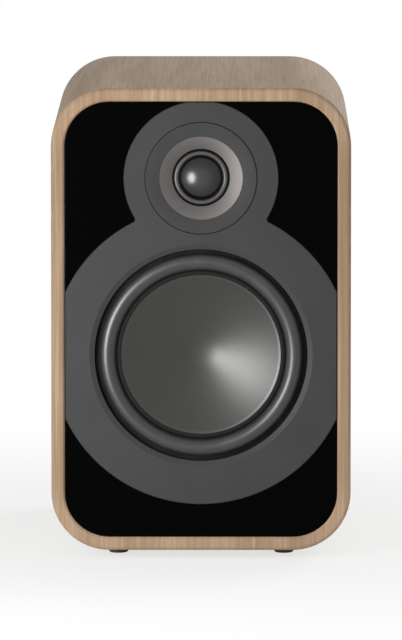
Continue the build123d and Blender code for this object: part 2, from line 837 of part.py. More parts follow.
def tweeter_faceplate():
    """Shallow dished face with a flange behind it that screws down under the front panel."""
    mouth, near = waveguide_mouth_r + face_gap / 2, face_front + face_dish
    seat = near + waveguide_thickness
    lead = (mouth + face_lead[0], near - face_lead[1])
    lip_r, plate_r_out = small_lip_out + face_gap, tweeter_plate_r + glue
    face = turned(
        Line((mouth, near), lead),
        arc(lead, ((mouth + face_r) / 2, face_front + face_dish / 3), (face_r - face_edge, face_front)),
        Polyline(
            (face_r - face_edge, face_front), (face_r, face_front + face_edge),
            (face_r, tweeter_flange_front), (tweeter_flange_r, tweeter_flange_front),
            (tweeter_flange_r, tweeter_flange_back),
            (plate_r_out, tweeter_flange_back), (plate_r_out, small_plate_front), (lip_r, small_plate_front),
            (lip_r, small_plate_front - face_bore_step), (mouth - face_bore_run, seat + face_back_step),
            (mouth, seat), (mouth, near),
        ),
    )
    ears = facing(tweeter_flange_outline(), tweeter_flange_front, tweeter_flange_back)
    face += ears - ring(0, tweeter_flange_r - past, 0, cab_depth)
    for x, z in ring_round(45, tweeter_lugs, tweeter_flange_r + tweeter_lug_offset):
        face -= Pos(x, tweeter_flange_front, z) * csk_hole(screw_length)
    return at_tweeter(face)


def tweeter_waveguide():
    """Metal flare from the dome out to the faceplate."""
    throat, mouth = waveguide_throat_r, waveguide_mouth_r
    near, deep = face_front + face_dish, dome_edge_depth - waveguide_throat_gap
    middle = ((throat + mouth) / 2 + waveguide_bow[0], (near + deep) / 2 - waveguide_bow[1])
    back = near + waveguide_thickness
    wall = Polyline(
        (throat, deep), (throat, dome_edge_depth - glue),
        (small_lip_out - 2 * waveguide_seam, dome_edge_depth - glue),
        (mouth - waveguide_back[0], back + waveguide_back[1]), (mouth, back - waveguide_seam), (mouth, near),
    )
    return at_tweeter(turned(arc((mouth, near), middle, (throat, deep)), wall))


def tweeter_dome():
    sphere = (dome_r**2 + dome_rise**2) / (2 * dome_rise)
    centre = dome_edge_depth - dome_rise + sphere
    inner = sphere - dome_thickness
    inside_r = sqrt(inner**2 - (centre - dome_edge_depth) ** 2)

    def p(radius, ball):
        return radius, centre - sqrt(ball**2 - radius**2)

    front = arc(p(0, sphere), p(dome_r / 2, sphere), (dome_r, dome_edge_depth))
    foot = Line((dome_r, dome_edge_depth), (inside_r, dome_edge_depth))
    under = arc((inside_r, dome_edge_depth), p(inside_r / 2, inner), p(0, inner))
    return at_tweeter(turned(front, foot, under, Line(p(0, inner), p(0, sphere))))


def tweeter_surround():
    """Half roll from a foot glued behind the dome's edge out to a lip behind the flare."""
    near, seat, film = dome_edge_depth, dome_edge_depth + glue, small_film
    start = dome_r + glue
    stop = start + small_roll_span
    crest = near - small_roll_rise
    mid = (start + stop) / 2
    foot_in = dome_r - small_foot
    roll = arc((start, seat), (mid, crest), (stop, near))
    lip = Polyline(
        (stop, near), (small_lip_out, near), (small_lip_out, near + film), (stop - film, near + film)
    )
    under = arc((stop - film, near + film), (mid, crest + film), (start + film, seat + film))
    foot = Polyline(
        (start + film, seat + film), (foot_in, seat + film), (foot_in, seat), (start, seat)
    )
    return at_tweeter(turned(roll, lip, under, foot))


def tweeter_coil():
    near = dome_edge_depth + small_film + 2 * glue
    return at_tweeter(ring(small_coil_in, small_coil_out, near, near + small_coil_length))


def tweeter_top_plate():
    near, far = small_plate_front, small_plate_back
    return at_tweeter(chamfered_ring(small_bore_r, tweeter_plate_r, near, far, tweeter_plate_edge))


def tweeter_magnet():
    bore = small_bore_r + tweeter_magnet_bore
    magnet = chamfered_ring(bore, tweeter_magnet_r, small_plate_back, small_magnet_back, tweeter_magnet_edge)
    return at_tweeter(magnet)


def tweeter_yoke():
    near, edge = small_plate_front + small_pole_drop, small_pole_edge
    body = turned(
        Polyline(
            (small_vent_r, near), (small_pole_r - edge, near), (small_pole_r, near + edge),
            (small_pole_r, small_magnet_back), (small_yoke_r, small_magnet_back),
            (small_yoke_r, small_yoke_back), (small_vent_r, small_yoke_back), close=True,
        ).edges()
    )
    return at_tweeter(body)


def tweeter_chamber():
    """Closed cup behind the magnet that takes the dome's back wave."""
    far = small_yoke_back + chamber_length
    cup = ring(0, small_yoke_r, small_yoke_back, far)
    rims = [e for e in cup.edges().sort_by(Axis.Y)[-2:] if e.geom_type == GeomType.CIRCLE]
    cup = fillet(rims, chamber_edge_r)
    return at_tweeter(cup - ring(0, small_yoke_r - chamber_wall, small_yoke_back - past, far - chamber_wall))


def tweeter_gasket():
    outline = tweeter_flange_outline() - Circle(tweeter_plate_r + tweeter_plate_room)
    for x, z in ring_round(45, tweeter_lugs, tweeter_flange_r + tweeter_lug_offset):
        outline -= Pos(x, z) * Circle(screw_r + screw_fit)
    return slab(outline, tweeter_flange_back, tweeter_recess, tweeter_z)


def tweeter_screws():
    return [
        at(tweeter_flange_front, x, tweeter_z + z) * csk_screw(screw_length)
        for x, z in ring_round(45, tweeter_lugs, tweeter_flange_r + tweeter_lug_offset)
    ]


# ---- port ----
def quarter(start, end, centre, radius, side):
    """Quarter circle; side (+1 or -1 on each axis) says which way its middle lies from the centre."""
    reach = radius * sqrt(0.5)
    return arc(start, (centre[0] + side[0] * reach, centre[1] + side[1] * reach), end)


def port_tube():
    """Tube flared at both ends, with a flange let into the back."""
    far, near = cab_depth, cab_depth - port_length
    mouth, lip, outer = port_r + port_mouth_flare, port_r + port_inner_flare, port_r + port_wall
    neck, tail, back = far - port_mouth_flare, near + port_inner_flare, far - port_flange_thickness
    hollow = port_mouth_flare - port_flange_thickness
    return at(z=port_z) * turned(
        quarter((mouth, far), (port_r, neck), (mouth, neck), port_mouth_flare, (-1, 1)),
        Line((port_r, neck), (port_r, tail)),
        quarter((port_r, tail), (lip, near), (lip, tail), port_inner_flare, (-1, -1)),
        Line((lip, near), (lip, near + port_wall)),
        quarter((lip, near + port_wall), (outer, tail), (lip, tail), port_inner_flare - port_wall, (-1, -1)),
        Polyline((outer, tail), (outer, neck - port_root), (mouth - hollow, neck)),
        quarter((mouth - hollow, neck), (mouth, back), (mouth, neck), hollow, (-1, 1)),
        Polyline((mouth, back), (port_flange_r, back), (port_flange_r, far), (mouth, far)),
    )


# ---- terminal plate and binding posts ----
def terminal_screw_spots():
    for x in (-1, 1):
        for z in (-1, 1):
            yield (
                x * (terminal_width / 2 - terminal_screw_inset),
                terminal_z + z * (terminal_tall / 2 - terminal_screw_inset),
            )


def terminal_plate():
    """Plate let into the back, with a dish that the two posts stand in."""
    outline = RectangleRounded(terminal_width, terminal_tall, terminal_corner_r)
    flange = slab(outline, cab_depth - terminal_flange, cab_depth, terminal_z)
    flange = chamfer(flange.faces().sort_by(Axis.Y)[-1].edges(), terminal_edge)
    skin = 2 * dish_wall
    body = RectangleRounded(dish_width + skin, dish_tall + skin, dish_corner_r + dish_wall)
    plate = flange + slab(body, dish_back, cab_depth - terminal_flange, terminal_z)
    floor_width, floor_tall = dish_width - 2 * dish_draft, dish_tall - 2 * dish_draft
    mouth = Plane.XZ * RectangleRounded(dish_width, dish_tall, dish_corner_r)
    floor = Plane.XZ * RectangleRounded(floor_width, floor_tall, dish_corner_r - dish_draft)
    plate -= loft([at(cab_depth, z=terminal_z) * mouth, at(dish_floor, z=terminal_z) * floor])
    for x in posts.values():
        plate -= at(x=x, z=terminal_z) * ring(0, stud_r + screw_fit, 0, cab_depth)
    for x, z in terminal_screw_spots():
        plate -= at(cab_depth, x, z) * Rot(0, 0, 180) * csk_hole(terminal_screw_length)
    return plate


def terminal_screws():
    screw = Rot(0, 0, 180) * csk_screw(terminal_screw_length)
    return [at(cab_depth, x, z) * screw for x, z in terminal_screw_spots()]


def at_post(colour, solid):
    return at(x=posts[colour], z=terminal_z) * solid


def binding_post(colour):
    """Metal stud: tail for the nut, seat collar, cross hole for wire and a 4 mm socket in its end."""
    stud = ring(0, stud_r, nut_front - stud_tail, stud_tip) + ring(0, stud_collar_r, bush_top, collar_top)
    tip = [e for e in stud.edges() if e.geom_type == GeomType.CIRCLE and e.center().Y > stud_tip - 0.01]
    stud = chamfer(tip, stud_edge)
    stud -= ring(0, banana_r, stud_tip - banana_depth, stud_tip + past)
    return at_post(colour, stud - Pos(0, collar_top + wire_hole_rise, 0) * Cylinder(wire_hole_r, 4 * stud_r))


def post_bush(colour):
    body = chamfered_ring(stud_r + screw_fit, bush_r, dish_floor, bush_top, bush_edge)
    return at_post(colour, body)


def clamp_washer(colour):
    top = washer_base + washer_thickness
    return at_post(colour, chamfered_ring(stud_r + running_gap, washer_r, washer_base, top, washer_edge))


def terminal_knob(colour):
    """Hand nut, fluted round its outside, threaded right through, so that a plug goes into the stud."""
    knob = ring(0, knob_r, knob_base, knob_tip)
    rims = [e for e in knob.edges() if e.geom_type == GeomType.CIRCLE]
    knob = fillet(rims, knob_edge)
    bore_r, start = stud_r + running_gap, knob_tip - knob_mouth_chamfer
    knob -= ring(0, bore_r, knob_base - past, knob_tip + past)
    mouth_r = bore_r + knob_mouth_chamfer
    mouth = Polyline((0, start), (bore_r, start), (mouth_r, knob_tip), (0, knob_tip), close=True)
    knob -= turned(*mouth.edges())
    knob -= ring(mark_inner_r, mark_outer_r, knob_tip - mark_depth, knob_tip + past)
    for x, z in ring_round(0, knob_flutes, knob_r + flute_r * flute_shift):
        knob -= Pos(x, 0, z) * ring(0, flute_r, knob_base + flute_margin, knob_tip - flute_margin)
    return at_post(colour, knob)


def marking_ring(colour):
    """Coloured ring let into the knob's end."""
    near, far = knob_tip - mark_depth, knob_tip - glue
    return at_post(colour, ring(mark_inner_r + screw_fit, mark_outer_r - screw_fit, near, far))


def post_nuts():
    nut = slab(RegularPolygon(nut_flats / 2, 6, major_radius=False), nut_front, tag_ring_front, terminal_z)
    nut -= at(z=terminal_z) * ring(0, stud_r + screw_fit, 0, cab_depth)
    return [Pos(x, 0, 0) * nut for x in posts.values()]


def post_solder_tags():
    tags = []
    for x in posts.values():
        outline = Circle(tag_ring_r) + Pos(0, -tag_ring_reach / 2) * Rectangle(tag_neck, tag_ring_reach)
        outline += Pos(0, -tag_ring_reach) * Circle(tag_eye_r)
        outline -= Circle(stud_r + screw_fit)
        outline -= Pos(0, -tag_ring_reach) * Circle(tag_eye_hole_r)
        tags.append(Pos(x, 0, 0) * slab(outline, tag_ring_front, dish_back, terminal_z))
    return tags


# ---- crossover ----
board_z = floor_z + standoff_height
board_top = board_z + board_thickness


def at_board(x, depth, rise, solid):
    return at(board_front + depth, x, board_top + rise) * solid


def standoff_spots():
    for x in (-1, 1):
        for y in (standoff_inset, board_depth - standoff_inset):
            yield x * (board_width / 2 - standoff_inset), y


def crossover_board():
    outline = RectangleRounded(board_width, board_depth, board_corner_r)
    sheet = extrude(outline, amount=-board_thickness)
    for x, y in standoff_spots():
        sheet -= Pos(x, y - board_depth / 2) * Cylinder(standoff_peg_r + screw_fit, 4 * board_thickness)
    return at_board(0, board_depth / 2, 0, sheet)


def crossover_standoffs():
    """Push-in pillars: a post under the board, a neck through it and a barbed head on top."""
    top = standoff_height + board_thickness
    foot_out, foot_top = standoff_r + standoff_foot[0], standoff_foot[1]
    head, tip = top + glue, top + glue + standoff_head
    pillar = standing(
        Polyline(
            (0, 0), (foot_out, 0), (foot_out, foot_top), (standoff_r, foot_top),
            (standoff_r, standoff_height), (standoff_peg_r, standoff_height), (standoff_peg_r, head),
            (standoff_head_r, head),
            (standoff_peg_r - standoff_barb, tip), (0, tip), close=True,
        ).edges()
    )
    return [at(board_front + y, x, floor_z) * pillar for x, y in standoff_spots()]


def wound_coil(outer, bore, height):
    body = upright(outer, height) - Cylinder(bore, 4 * height)
    return fillet([e for e in body.edges() if e.geom_type == GeomType.CIRCLE], part_edge)


def bass_inductor():
    x = -board_width / 2 + board_margin + bass_coil_r
    coil = wound_coil(bass_coil_r, bass_coil_bore_r, bass_coil_height)
    return at_board(x, board_margin + bass_coil_r, 0, coil)


def treble_inductor():
    """Stands on edge across the other coil, so that the two don't couple."""
    coil = Rot(0, 90, 0) * wound_coil(treble_coil_r, treble_coil_bore_r, treble_coil_height)
    x = board_width / 2 - 2 * board_margin - treble_coil_height / 2 - treble_coil_inset
    return at_board(x, 2 * board_margin + treble_coil_r, treble_coil_r, coil)


def film_capacitor(radius, length):
    can = Rot(0, 90, 0) * Cylinder(radius, length)
    return fillet([e for e in can.edges() if e.geom_type == GeomType.CIRCLE], part_edge)


def large_capacitor():
    x = -board_width / 2 + 2 * board_margin + cap_length / 2
    return at_board(x, board_depth - board_margin - cap_r, cap_r, film_capacitor(cap_r, cap_length))


def small_capacitor():
    x = small_cap_length / 2 + board_margin
    y = board_depth - board_margin - small_cap_r
    return at_board(x, y, small_cap_r, film_capacitor(small_cap_r, small_cap_length))


def power_resistor():
    body = box_on(Align.MIN, 0, 0, 0, resistor_length, resistor_side, resistor_side)
    x = resistor_length / 2 + board_margin
    y = board_depth - 2 * board_margin - 2 * small_cap_r - resistor_side / 2
    return at_board(x, y, 0, fillet(body.edges().filter_by(Axis.X), part_edge))


nodes = {
    "cabinet_shell": cabinet_shell(),
    "front_baffle": front_baffle(),
    "rear_panel": rear_panel(),
    "window_brace": window_brace(),
    "wadding": wadding(),
    "stand_inserts": stand_inserts(),
    "grille_magnets": grille_magnets(),
    "front_panel": front_panel(),
    "driver_trim": driver_trim(),
    "woofer_basket": woofer_basket(),
    "woofer_gasket": woofer_gasket(),
    "woofer_screws": woofer_screws(),
    "woofer_surround": woofer_surround(),
    "woofer_cone": woofer_cone(),
    "woofer_coil_former": coil_former(),
    "woofer_voice_coil": voice_coil(),
    "woofer_spider": spider(),
    "woofer_top_plate": woofer_top_plate(),
    "woofer_magnet": woofer_magnet(),
    "woofer_yoke": woofer_yoke(),
    "woofer_terminals": woofer_terminals(),
    "tweeter_faceplate": tweeter_faceplate(),
    "tweeter_waveguide": tweeter_waveguide(),
    "tweeter_dome": tweeter_dome(),
    "tweeter_surround": tweeter_surround(),
    "tweeter_voice_coil": tweeter_coil(),
    "tweeter_top_plate": tweeter_top_plate(),
    "tweeter_magnet": tweeter_magnet(),
    "tweeter_yoke": tweeter_yoke(),
    "tweeter_chamber": tweeter_chamber(),
    "tweeter_gasket": tweeter_gasket(),
    "tweeter_screws": tweeter_screws(),
    "port_tube": port_tube(),
    "terminal_plate": terminal_plate(),
    "terminal_screws": terminal_screws(),
    "post_nuts": post_nuts(),
    "post_solder_tags": post_solder_tags(),
    "crossover_board": crossover_board(),
    "crossover_standoffs": crossover_standoffs(),
    "bass_inductor": bass_inductor(),
    "treble_inductor": treble_inductor(),
    "large_capacitor": large_capacitor(),
    "small_capacitor": small_capacitor(),
    "power_resistor": power_resistor(),
}
for side, hand in ((-1, "left"), (1, "right")):
    for end, place in ((-1, "front"), (1, "rear")):
        nodes[f"rubber_foot_{place}_{hand}"] = rubber_foot(side, end)
for colour in posts:
    nodes[f"binding_post_{colour}"] = binding_post(colour)
    nodes[f"post_bush_{colour}"] = post_bush(colour)
    nodes[f"clamp_washer_{colour}"] = clamp_washer(colour)
    nodes[f"terminal_knob_{colour}"] = terminal_knob(colour)
    nodes[f"marking_ring_{colour}"] = marking_ring(colour)

os.makedirs("parts", exist_ok=True)
for name, shape in nodes.items():
    solids = shape if isinstance(shape, list) else [shape]
    export_step(Compound(solids) if len(solids) > 1 else solids[0], f"parts/{name}.step")
print(len(nodes), "nodes")
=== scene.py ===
import json
import math
import random
import bmesh
import bpy
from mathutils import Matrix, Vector


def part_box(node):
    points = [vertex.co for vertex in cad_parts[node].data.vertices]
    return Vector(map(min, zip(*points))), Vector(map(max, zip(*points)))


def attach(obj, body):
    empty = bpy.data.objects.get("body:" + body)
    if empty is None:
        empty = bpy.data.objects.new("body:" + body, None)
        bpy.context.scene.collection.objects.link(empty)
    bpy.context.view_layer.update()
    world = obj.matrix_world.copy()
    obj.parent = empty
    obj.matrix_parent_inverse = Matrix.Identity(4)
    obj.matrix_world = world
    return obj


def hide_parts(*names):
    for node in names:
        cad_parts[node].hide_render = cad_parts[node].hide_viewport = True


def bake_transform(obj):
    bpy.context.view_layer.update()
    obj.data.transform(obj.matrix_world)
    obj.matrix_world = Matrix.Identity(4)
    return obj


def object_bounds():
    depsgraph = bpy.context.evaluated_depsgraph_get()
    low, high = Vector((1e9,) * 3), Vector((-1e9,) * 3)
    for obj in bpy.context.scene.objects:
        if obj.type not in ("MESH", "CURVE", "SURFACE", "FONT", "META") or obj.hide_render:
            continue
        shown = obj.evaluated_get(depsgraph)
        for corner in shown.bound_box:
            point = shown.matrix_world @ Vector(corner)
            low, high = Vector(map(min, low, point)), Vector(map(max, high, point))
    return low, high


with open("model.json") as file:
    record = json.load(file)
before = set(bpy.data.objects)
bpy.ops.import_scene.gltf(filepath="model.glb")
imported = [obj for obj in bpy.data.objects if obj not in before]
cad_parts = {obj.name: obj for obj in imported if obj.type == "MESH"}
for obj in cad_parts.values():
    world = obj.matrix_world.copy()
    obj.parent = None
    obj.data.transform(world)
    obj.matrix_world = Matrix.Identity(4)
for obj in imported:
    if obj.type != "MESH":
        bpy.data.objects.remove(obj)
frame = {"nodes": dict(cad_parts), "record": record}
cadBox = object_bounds()
print("frame loaded:", len(frame["nodes"]), "nodes")

mm = 0.001
scene = bpy.context.scene


# node trees, in which sums are written as sums

class Wire:
    # one output socket; an expression on it adds Math nodes
    def __init__(self, net, socket):
        self.net, self.socket = net, socket

    def __getitem__(self, name):
        return Wire(self.net, self.socket.node.outputs[name])

    def __add__(self, other):
        return self.net.maths("ADD", self, other)

    def __sub__(self, other):
        return self.net.maths("SUBTRACT", self, other)

    def __rsub__(self, other):
        return self.net.maths("SUBTRACT", other, self)

    def __mul__(self, other):
        return self.net.maths("MULTIPLY", self, other)

    def __truediv__(self, other):
        return self.net.maths("DIVIDE", self, other)

    def __rtruediv__(self, other):
        return self.net.maths("DIVIDE", other, self)

    def __pow__(self, other):
        return self.net.maths("POWER", self, other)

    def __rpow__(self, other):
        return self.net.maths("POWER", other, self)

    def __neg__(self):
        return self.net.maths("MULTIPLY", self, -1.0)

    def __abs__(self):
        return self.net.maths("ABSOLUTE", self)

    __radd__ = __add__
    __rmul__ = __mul__


class Net:
    # a shader tree or a geometry tree, with one way to add any node
    def __init__(self, tree):
        self.tree = tree

    def feed(self, socket, value):
        # a link from a wire, or else a plain value
        if isinstance(value, Wire):
            self.tree.links.new(value.socket, socket)
        else:
            socket.default_value = value

    def add(self, kind, settings=None, values=None, out=0):
        node = self.tree.nodes.new(kind)
        for name, value in (settings or {}).items():
            setattr(node, name, value)
        for name, value in (values or {}).items():
            self.feed(node.inputs[name], value)
        return Wire(self, node.outputs[out]) if len(node.outputs) else node

    def maths(self, how, *terms):
        return self.add("ShaderNodeMath", {"operation": how}, dict(enumerate(terms)))

    def step(self, value, low, high):
        # 0 below low, 1 above high, smooth between
        kind = {"interpolation_type": "SMOOTHSTEP"}
        return self.add("ShaderNodeMapRange", kind, {"Value": value, "From Min": low, "From Max": high})

    def vector(self, x, y, z):
        return self.add("ShaderNodeCombineXYZ", None, {"X": x, "Y": y, "Z": z})

    def noise(self, vector, scale, detail=2.0, rough=0.5):
        values = {"Vector": vector, "Scale": scale, "Detail": detail, "Roughness": rough}
        return self.add("ShaderNodeTexNoise", None, values)

    def blend(self, share, low, high):
        # two colours through a Mix node
        low, high = (tone if isinstance(tone, Wire) else (*tone, 1.0) for tone in (low, high))
        return self.add("ShaderNodeMix", {"data_type": "RGBA"}, {0: share, 6: low, 7: high}, 2)


class Finish(Net):
    # a material: its place on the piece in metres, and its shader
    def __init__(self, name, **constants):
        self.material = bpy.data.materials.new(name)
        self.material.use_nodes = True
        super().__init__(self.material.node_tree)
        self.shader = self.tree.nodes["Principled BSDF"]
        self.place = self.add("ShaderNodeTexCoord", out="Object")
        split = self.add("ShaderNodeSeparateXYZ", None, {"Vector": self.place})
        self.x, self.y, self.z = split["X"], split["Y"], split["Z"]
        for socket, value in constants.items():
            self.set(socket.replace("_", " "), value)

    def set(self, socket, value):
        self.feed(self.shader.inputs[socket], value)

    def bump(self, height, distance, strength):
        values = {"Height": height, "Distance": distance, "Strength": strength}
        self.set("Normal", self.add("ShaderNodeBump", None, values))

    def stretched(self, x, y, z):
        # the place, scaled along each axis
        return self.vector(self.x * x, self.y * y, self.z * z)

    def weave(self, thread):
        # threads that lie over one another, 0 to 1
        turns = 2 * math.pi / thread
        warp, weft = (self.maths("SINE", run * turns) * 0.5 + 0.5 for run in (self.x, self.z))
        return self.maths("MAXIMUM", warp, weft)


def middle(node):
    low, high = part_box(node)
    return (low + high) / 2


def times(tone, share):
    return [c * share for c in tone]


# wood

def oakLaminate(name):
    # one sheet wrapped round the box with its grain front to back; upright grain on the front edge
    look = dict(
        cornerR=35 * mm, frontFrom=0.7 * mm, frontTo=2.0 * mm, postFrom=-12 * mm, postTo=14 * mm,
        rubbed=(0.2 * mm, 0.9 * mm, 1.6 * mm, 3.0 * mm), rubPatch=90.0, rubShare=0.30,
        fibres=620.0, fibreRun=9.0, pores=1500.0, poreRun=70.0, poreShare=0.26, bands=42.0, bandRun=1.6,
        wander=14.0, wanderRun=4.0, wanderBy=2.2, streaks=330.0, streakRun=7.0, darkStreak=0.34,
        paleStreak=0.30, rough=0.73, depth=0.04 * mm,
        pale=(0.460, 0.324, 0.213), warm=(0.367, 0.245, 0.150), dark=(0.27, 0.168, 0.096),
        worn=(0.60, 0.47, 0.35), palePost=(0.365, 0.254, 0.163), warmPost=(0.262, 0.173, 0.104),
        paleSide=(0.488, 0.376, 0.277), warmSide=(0.391, 0.290, 0.201),
    )
    low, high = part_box("cabinet_shell")
    m = Finish(name, Specular_IOR_Level=0.5, IOR=1.41)

    # the way round the outside, measured from the middle of the top
    half, tall, level = (high.x - low.x) / 2, (high.z - low.z) / 2, (high.z + low.z) / 2
    r = look["cornerR"]
    flatX, flatZ = half - r, tall - r
    aside, up = abs(m.x), m.z - level
    upOrDown = abs(up)
    pastX = m.maths("MAXIMUM", aside - flatX, 0.0)
    pastZ = m.maths("MAXIMUM", upOrDown - flatZ, 0.0)
    bend = m.maths("ARCTAN2", pastX, pastZ + 1e-6) * r
    along = m.maths("MINIMUM", aside, flatX) + bend + (flatZ - m.maths("MINIMUM", upOrDown, flatZ))
    wholeWay = 2 * (flatX + r * math.pi / 2 + flatZ)
    along = along + m.maths("LESS_THAN", up, 0.0) * (wholeWay - 2 * along)
    around = along * m.maths("SIGN", m.x)

    def woodAt(across, run, shift):
        def drawn(wide, long, cut, detail, rough):
            # noise drawn out along the grain, each layer cut at a depth of its own
            return m.noise(m.vector(wide, run * long, shift + cut), 1.0, detail, rough)

        fine = drawn(across * look["fibres"], look["fibreRun"], cut=0, detail=3.0, rough=0.62)
        pore = drawn(across * look["pores"], look["poreRun"], cut=4, detail=1.0, rough=0.5)
        wander = drawn(across * look["wander"], look["wanderRun"], cut=9, detail=2.0, rough=0.5)
        bands = across * look["bands"] + wander * look["wanderBy"]
        band = drawn(bands, look["bandRun"], cut=2, detail=2.0, rough=0.55)
        return fine, pore, band

    rim = 1 - m.step(m.y, low.y + look["frontFrom"], low.y + look["frontTo"])
    side, face = woodAt(around, m.y, 0.0), woodAt(m.x, m.z, 20.0)
    fine, pore, band = (
        m.add("ShaderNodeMix", {"data_type": "FLOAT"}, {0: rim, 2: a, 3: b}) for a, b in zip(side, face)
    )
    # the two upright strips of the front edge are darker than the rest of the edge
    post = rim * (1 - m.step(upOrDown, flatZ + look["postFrom"], flatZ + look["postTo"]))
    pale = m.blend(post, m.blend(rim, look["paleSide"], look["pale"]), look["palePost"])
    warm = m.blend(post, m.blend(rim, look["warmSide"], look["warm"]), look["warmPost"])
    colour = m.blend(m.step(band, 0.30, 0.70), pale, warm)
    colour = m.blend(m.step(fine, 0.42, 0.74) * (0.50 + 0.18 * rim), colour, look["dark"])
    streak = m.noise(m.stretched(look["streaks"], 0.0, look["streakRun"]), 1.0, detail=2.0, rough=0.6)
    colour = m.blend(rim * m.step(streak, 0.50, 0.68) * look["darkStreak"], colour, look["dark"])
    colour = m.blend(rim * (1 - m.step(streak, 0.30, 0.46)) * look["paleStreak"], colour, look["worn"])
    poreMask = m.step(pore, 0.60, 0.72)
    colour = m.blend(poreMask * look["poreShare"], colour, look["dark"])
    # the sheet is a little rubbed where it turns over the front edge
    begin, full, fade, end = (low.y + depth for depth in look["rubbed"])
    edge = m.step(m.y, begin, full) * (1 - m.step(m.y, fade, end))
    rubbed = edge * m.step(m.noise(m.place, look["rubPatch"], detail=3.0), 0.45, 0.75)
    m.set("Base Color", m.blend(rubbed * look["rubShare"], colour, look["worn"]))
    m.set("Roughness", look["rough"] + fine * 0.06 + poreMask * 0.06 - rubbed * 0.08)
    m.bump(fine * 0.5 - poreMask * 0.6, look["depth"], strength=0.5)
    return m.material


def fibreboard(name):
    # raw board: pressed flecks of two browns
    look = dict(
        dark=(0.30, 0.195, 0.115), pale=(0.42, 0.29, 0.18), flecks=900.0, clouds=60.0, depth=0.12 * mm,
    )
    m = Finish(name, Specular_IOR_Level=0.25)
    fleck = m.noise(m.place, look["flecks"], detail=4.0, rough=0.7)
    m.set("Base Color", m.blend(m.step(fleck, 0.35, 0.7), look["dark"], look["pale"]))
    m.set("Roughness", 0.78 + m.noise(m.place, look["clouds"], detail=3.0) * 0.12)
    m.bump(fleck, look["depth"], strength=0.8)
    return m.material


# sheet, lacquer, mouldings and metals

def glossBlack(name):
    # lacquered sheet: near black, a trace of orange peel and of wiping
    look = dict(
        black=(0.0012, 0.0012, 0.0013), dust=(0.05, 0.05, 0.05), specks=2600.0, wipes=(30.0, 30.0, 9.0),
        peel=420.0, rough=0.05, depth=0.004 * mm,
    )
    m = Finish(name, Specular_IOR_Level=0.02)
    wipe = m.noise(m.stretched(*look["wipes"]), 1.0, detail=3.0, rough=0.6)
    dust = m.step(m.noise(m.place, look["specks"], detail=1.0), 0.74, 0.80)
    m.set("Base Color", m.blend(dust * 0.05, look["black"], look["dust"]))
    m.set("Roughness", look["rough"] + m.step(wipe, 0.4, 0.8) * 0.05 + dust * 0.2)
    m.bump(m.noise(m.place, look["peel"], detail=1.0), look["depth"], strength=0.5)
    return m.material


def moulded(name, colour, rough, grain=1400.0, depth=0.03, cloud=0.12, spec=0.5, worn=None):
    # moulded plastic or paint with a fine even texture, slightly uneven in tone
    look = dict(clouds=34.0, rubs=210.0, rubShare=0.5, grainShare=0.22, grainLight=1.5)
    m = Finish(name, Specular_IOR_Level=spec)
    even = m.noise(m.place, look["clouds"], detail=3.0)
    skin = m.noise(m.place, grain, detail=2.0, rough=0.6)
    shade = m.blend(m.step(even, 0.3, 0.7), times(colour, 1 - cloud), times(colour, 1 + cloud))
    if worn:
        rubs = m.step(m.noise(m.place, look["rubs"], detail=4.0, rough=0.7), 0.64, 0.82)
        shade = m.blend(rubs * look["rubShare"], shade, worn)
    peaks = m.step(skin, 0.35, 0.75) * look["grainShare"]
    m.set("Base Color", m.blend(peaks, shade, times(colour, look["grainLight"])))
    m.set("Roughness", rough - 0.04 + even * 0.08 + skin * 0.04)
    m.bump(skin, depth * mm, strength=0.7)
    return m.material


def metal(name, colour, rough, brush=700.0, spots=0.0, dark=None):
    # plated, turned or cast metal with fine marks
    look = dict(clouds=70.0, specks=330.0, markDark=0.72, markShare=0.5, darkShare=0.45, depth=0.02 * mm)
    m = Finish(name, Metallic=1.0)
    line = m.noise(m.stretched(brush, brush, brush), 1.0, detail=3.0, rough=0.6)
    cloud = m.noise(m.place, look["clouds"], detail=3.0)
    marks = m.step(line, 0.3, 0.75) * look["markShare"]
    shade = m.blend(marks, colour, times(colour, look["markDark"]))
    if dark:
        shade = m.blend(m.step(cloud, 0.52, 0.75) * look["darkShare"], shade, dark)
    m.set("Base Color", shade)
    if spots:
        # specks of dirt are not metal
        speck = m.noise(m.place, look["specks"], detail=3.0, rough=0.7)
        m.set("Metallic", 1.0 - m.step(speck, 0.66, 0.8) * spots)
    m.set("Roughness", rough + line * 0.10 + cloud * 0.06)
    m.bump(line, look["depth"], strength=0.6)
    return m.material


# cloth, cone, rubber, foam and fibre

def wovenCloth(name, colour, thread, depth):
    # two sets of threads that run straight, as cut from the sheet
    look = dict(fuzz=2400.0, under=0.55, top=1.25)
    m = Finish(name, Sheen_Weight=0.3, Specular_IOR_Level=0.3, Roughness=0.85)
    over, fuzz = m.weave(thread * mm), m.noise(m.place, look["fuzz"], detail=2.0, rough=0.7)
    low, high = times(colour, look["under"]), times(colour, look["top"])
    m.set("Base Color", m.blend(over * 0.7 + fuzz * 0.3, low, high))
    m.bump(over + fuzz * 0.3, depth * mm, strength=0.8)
    return m.material


def clothWithPaintedLight(name, crest, full, none, paintedHighlightTone, nearRough, farRough, spec):
    # cloth of the dome and its roll: painted highlight, a lighter tone gathered round one radius, and
    # painted shade, near black, on the rest
    look = dict(bare=(0.003, 0.003, 0.003), thread=0.35 * mm, fuzz=2400.0, depth=0.004 * mm)
    m = Finish(name, Specular_IOR_Level=spec)
    centre = middle("tweeter_surround")
    east, up = m.x - centre.x, m.z - centre.z
    away = abs(m.maths("SQRT", east * east + up * up) - crest * mm)
    share = 1 - m.step(away, full * mm, none * mm)
    over, fuzz = m.weave(look["thread"]), m.noise(m.place, look["fuzz"], detail=2.0, rough=0.7)
    # painted highlight where the share is high, painted shade where it is low
    m.set("Base Color", m.blend(share * (0.7 + over * 0.2 + fuzz * 0.1), look["bare"], paintedHighlightTone))
    m.set("Roughness", farRough + share * (nearRough - farRough))
    m.bump(over + fuzz * 0.3, look["depth"], strength=0.8)
    return m.material


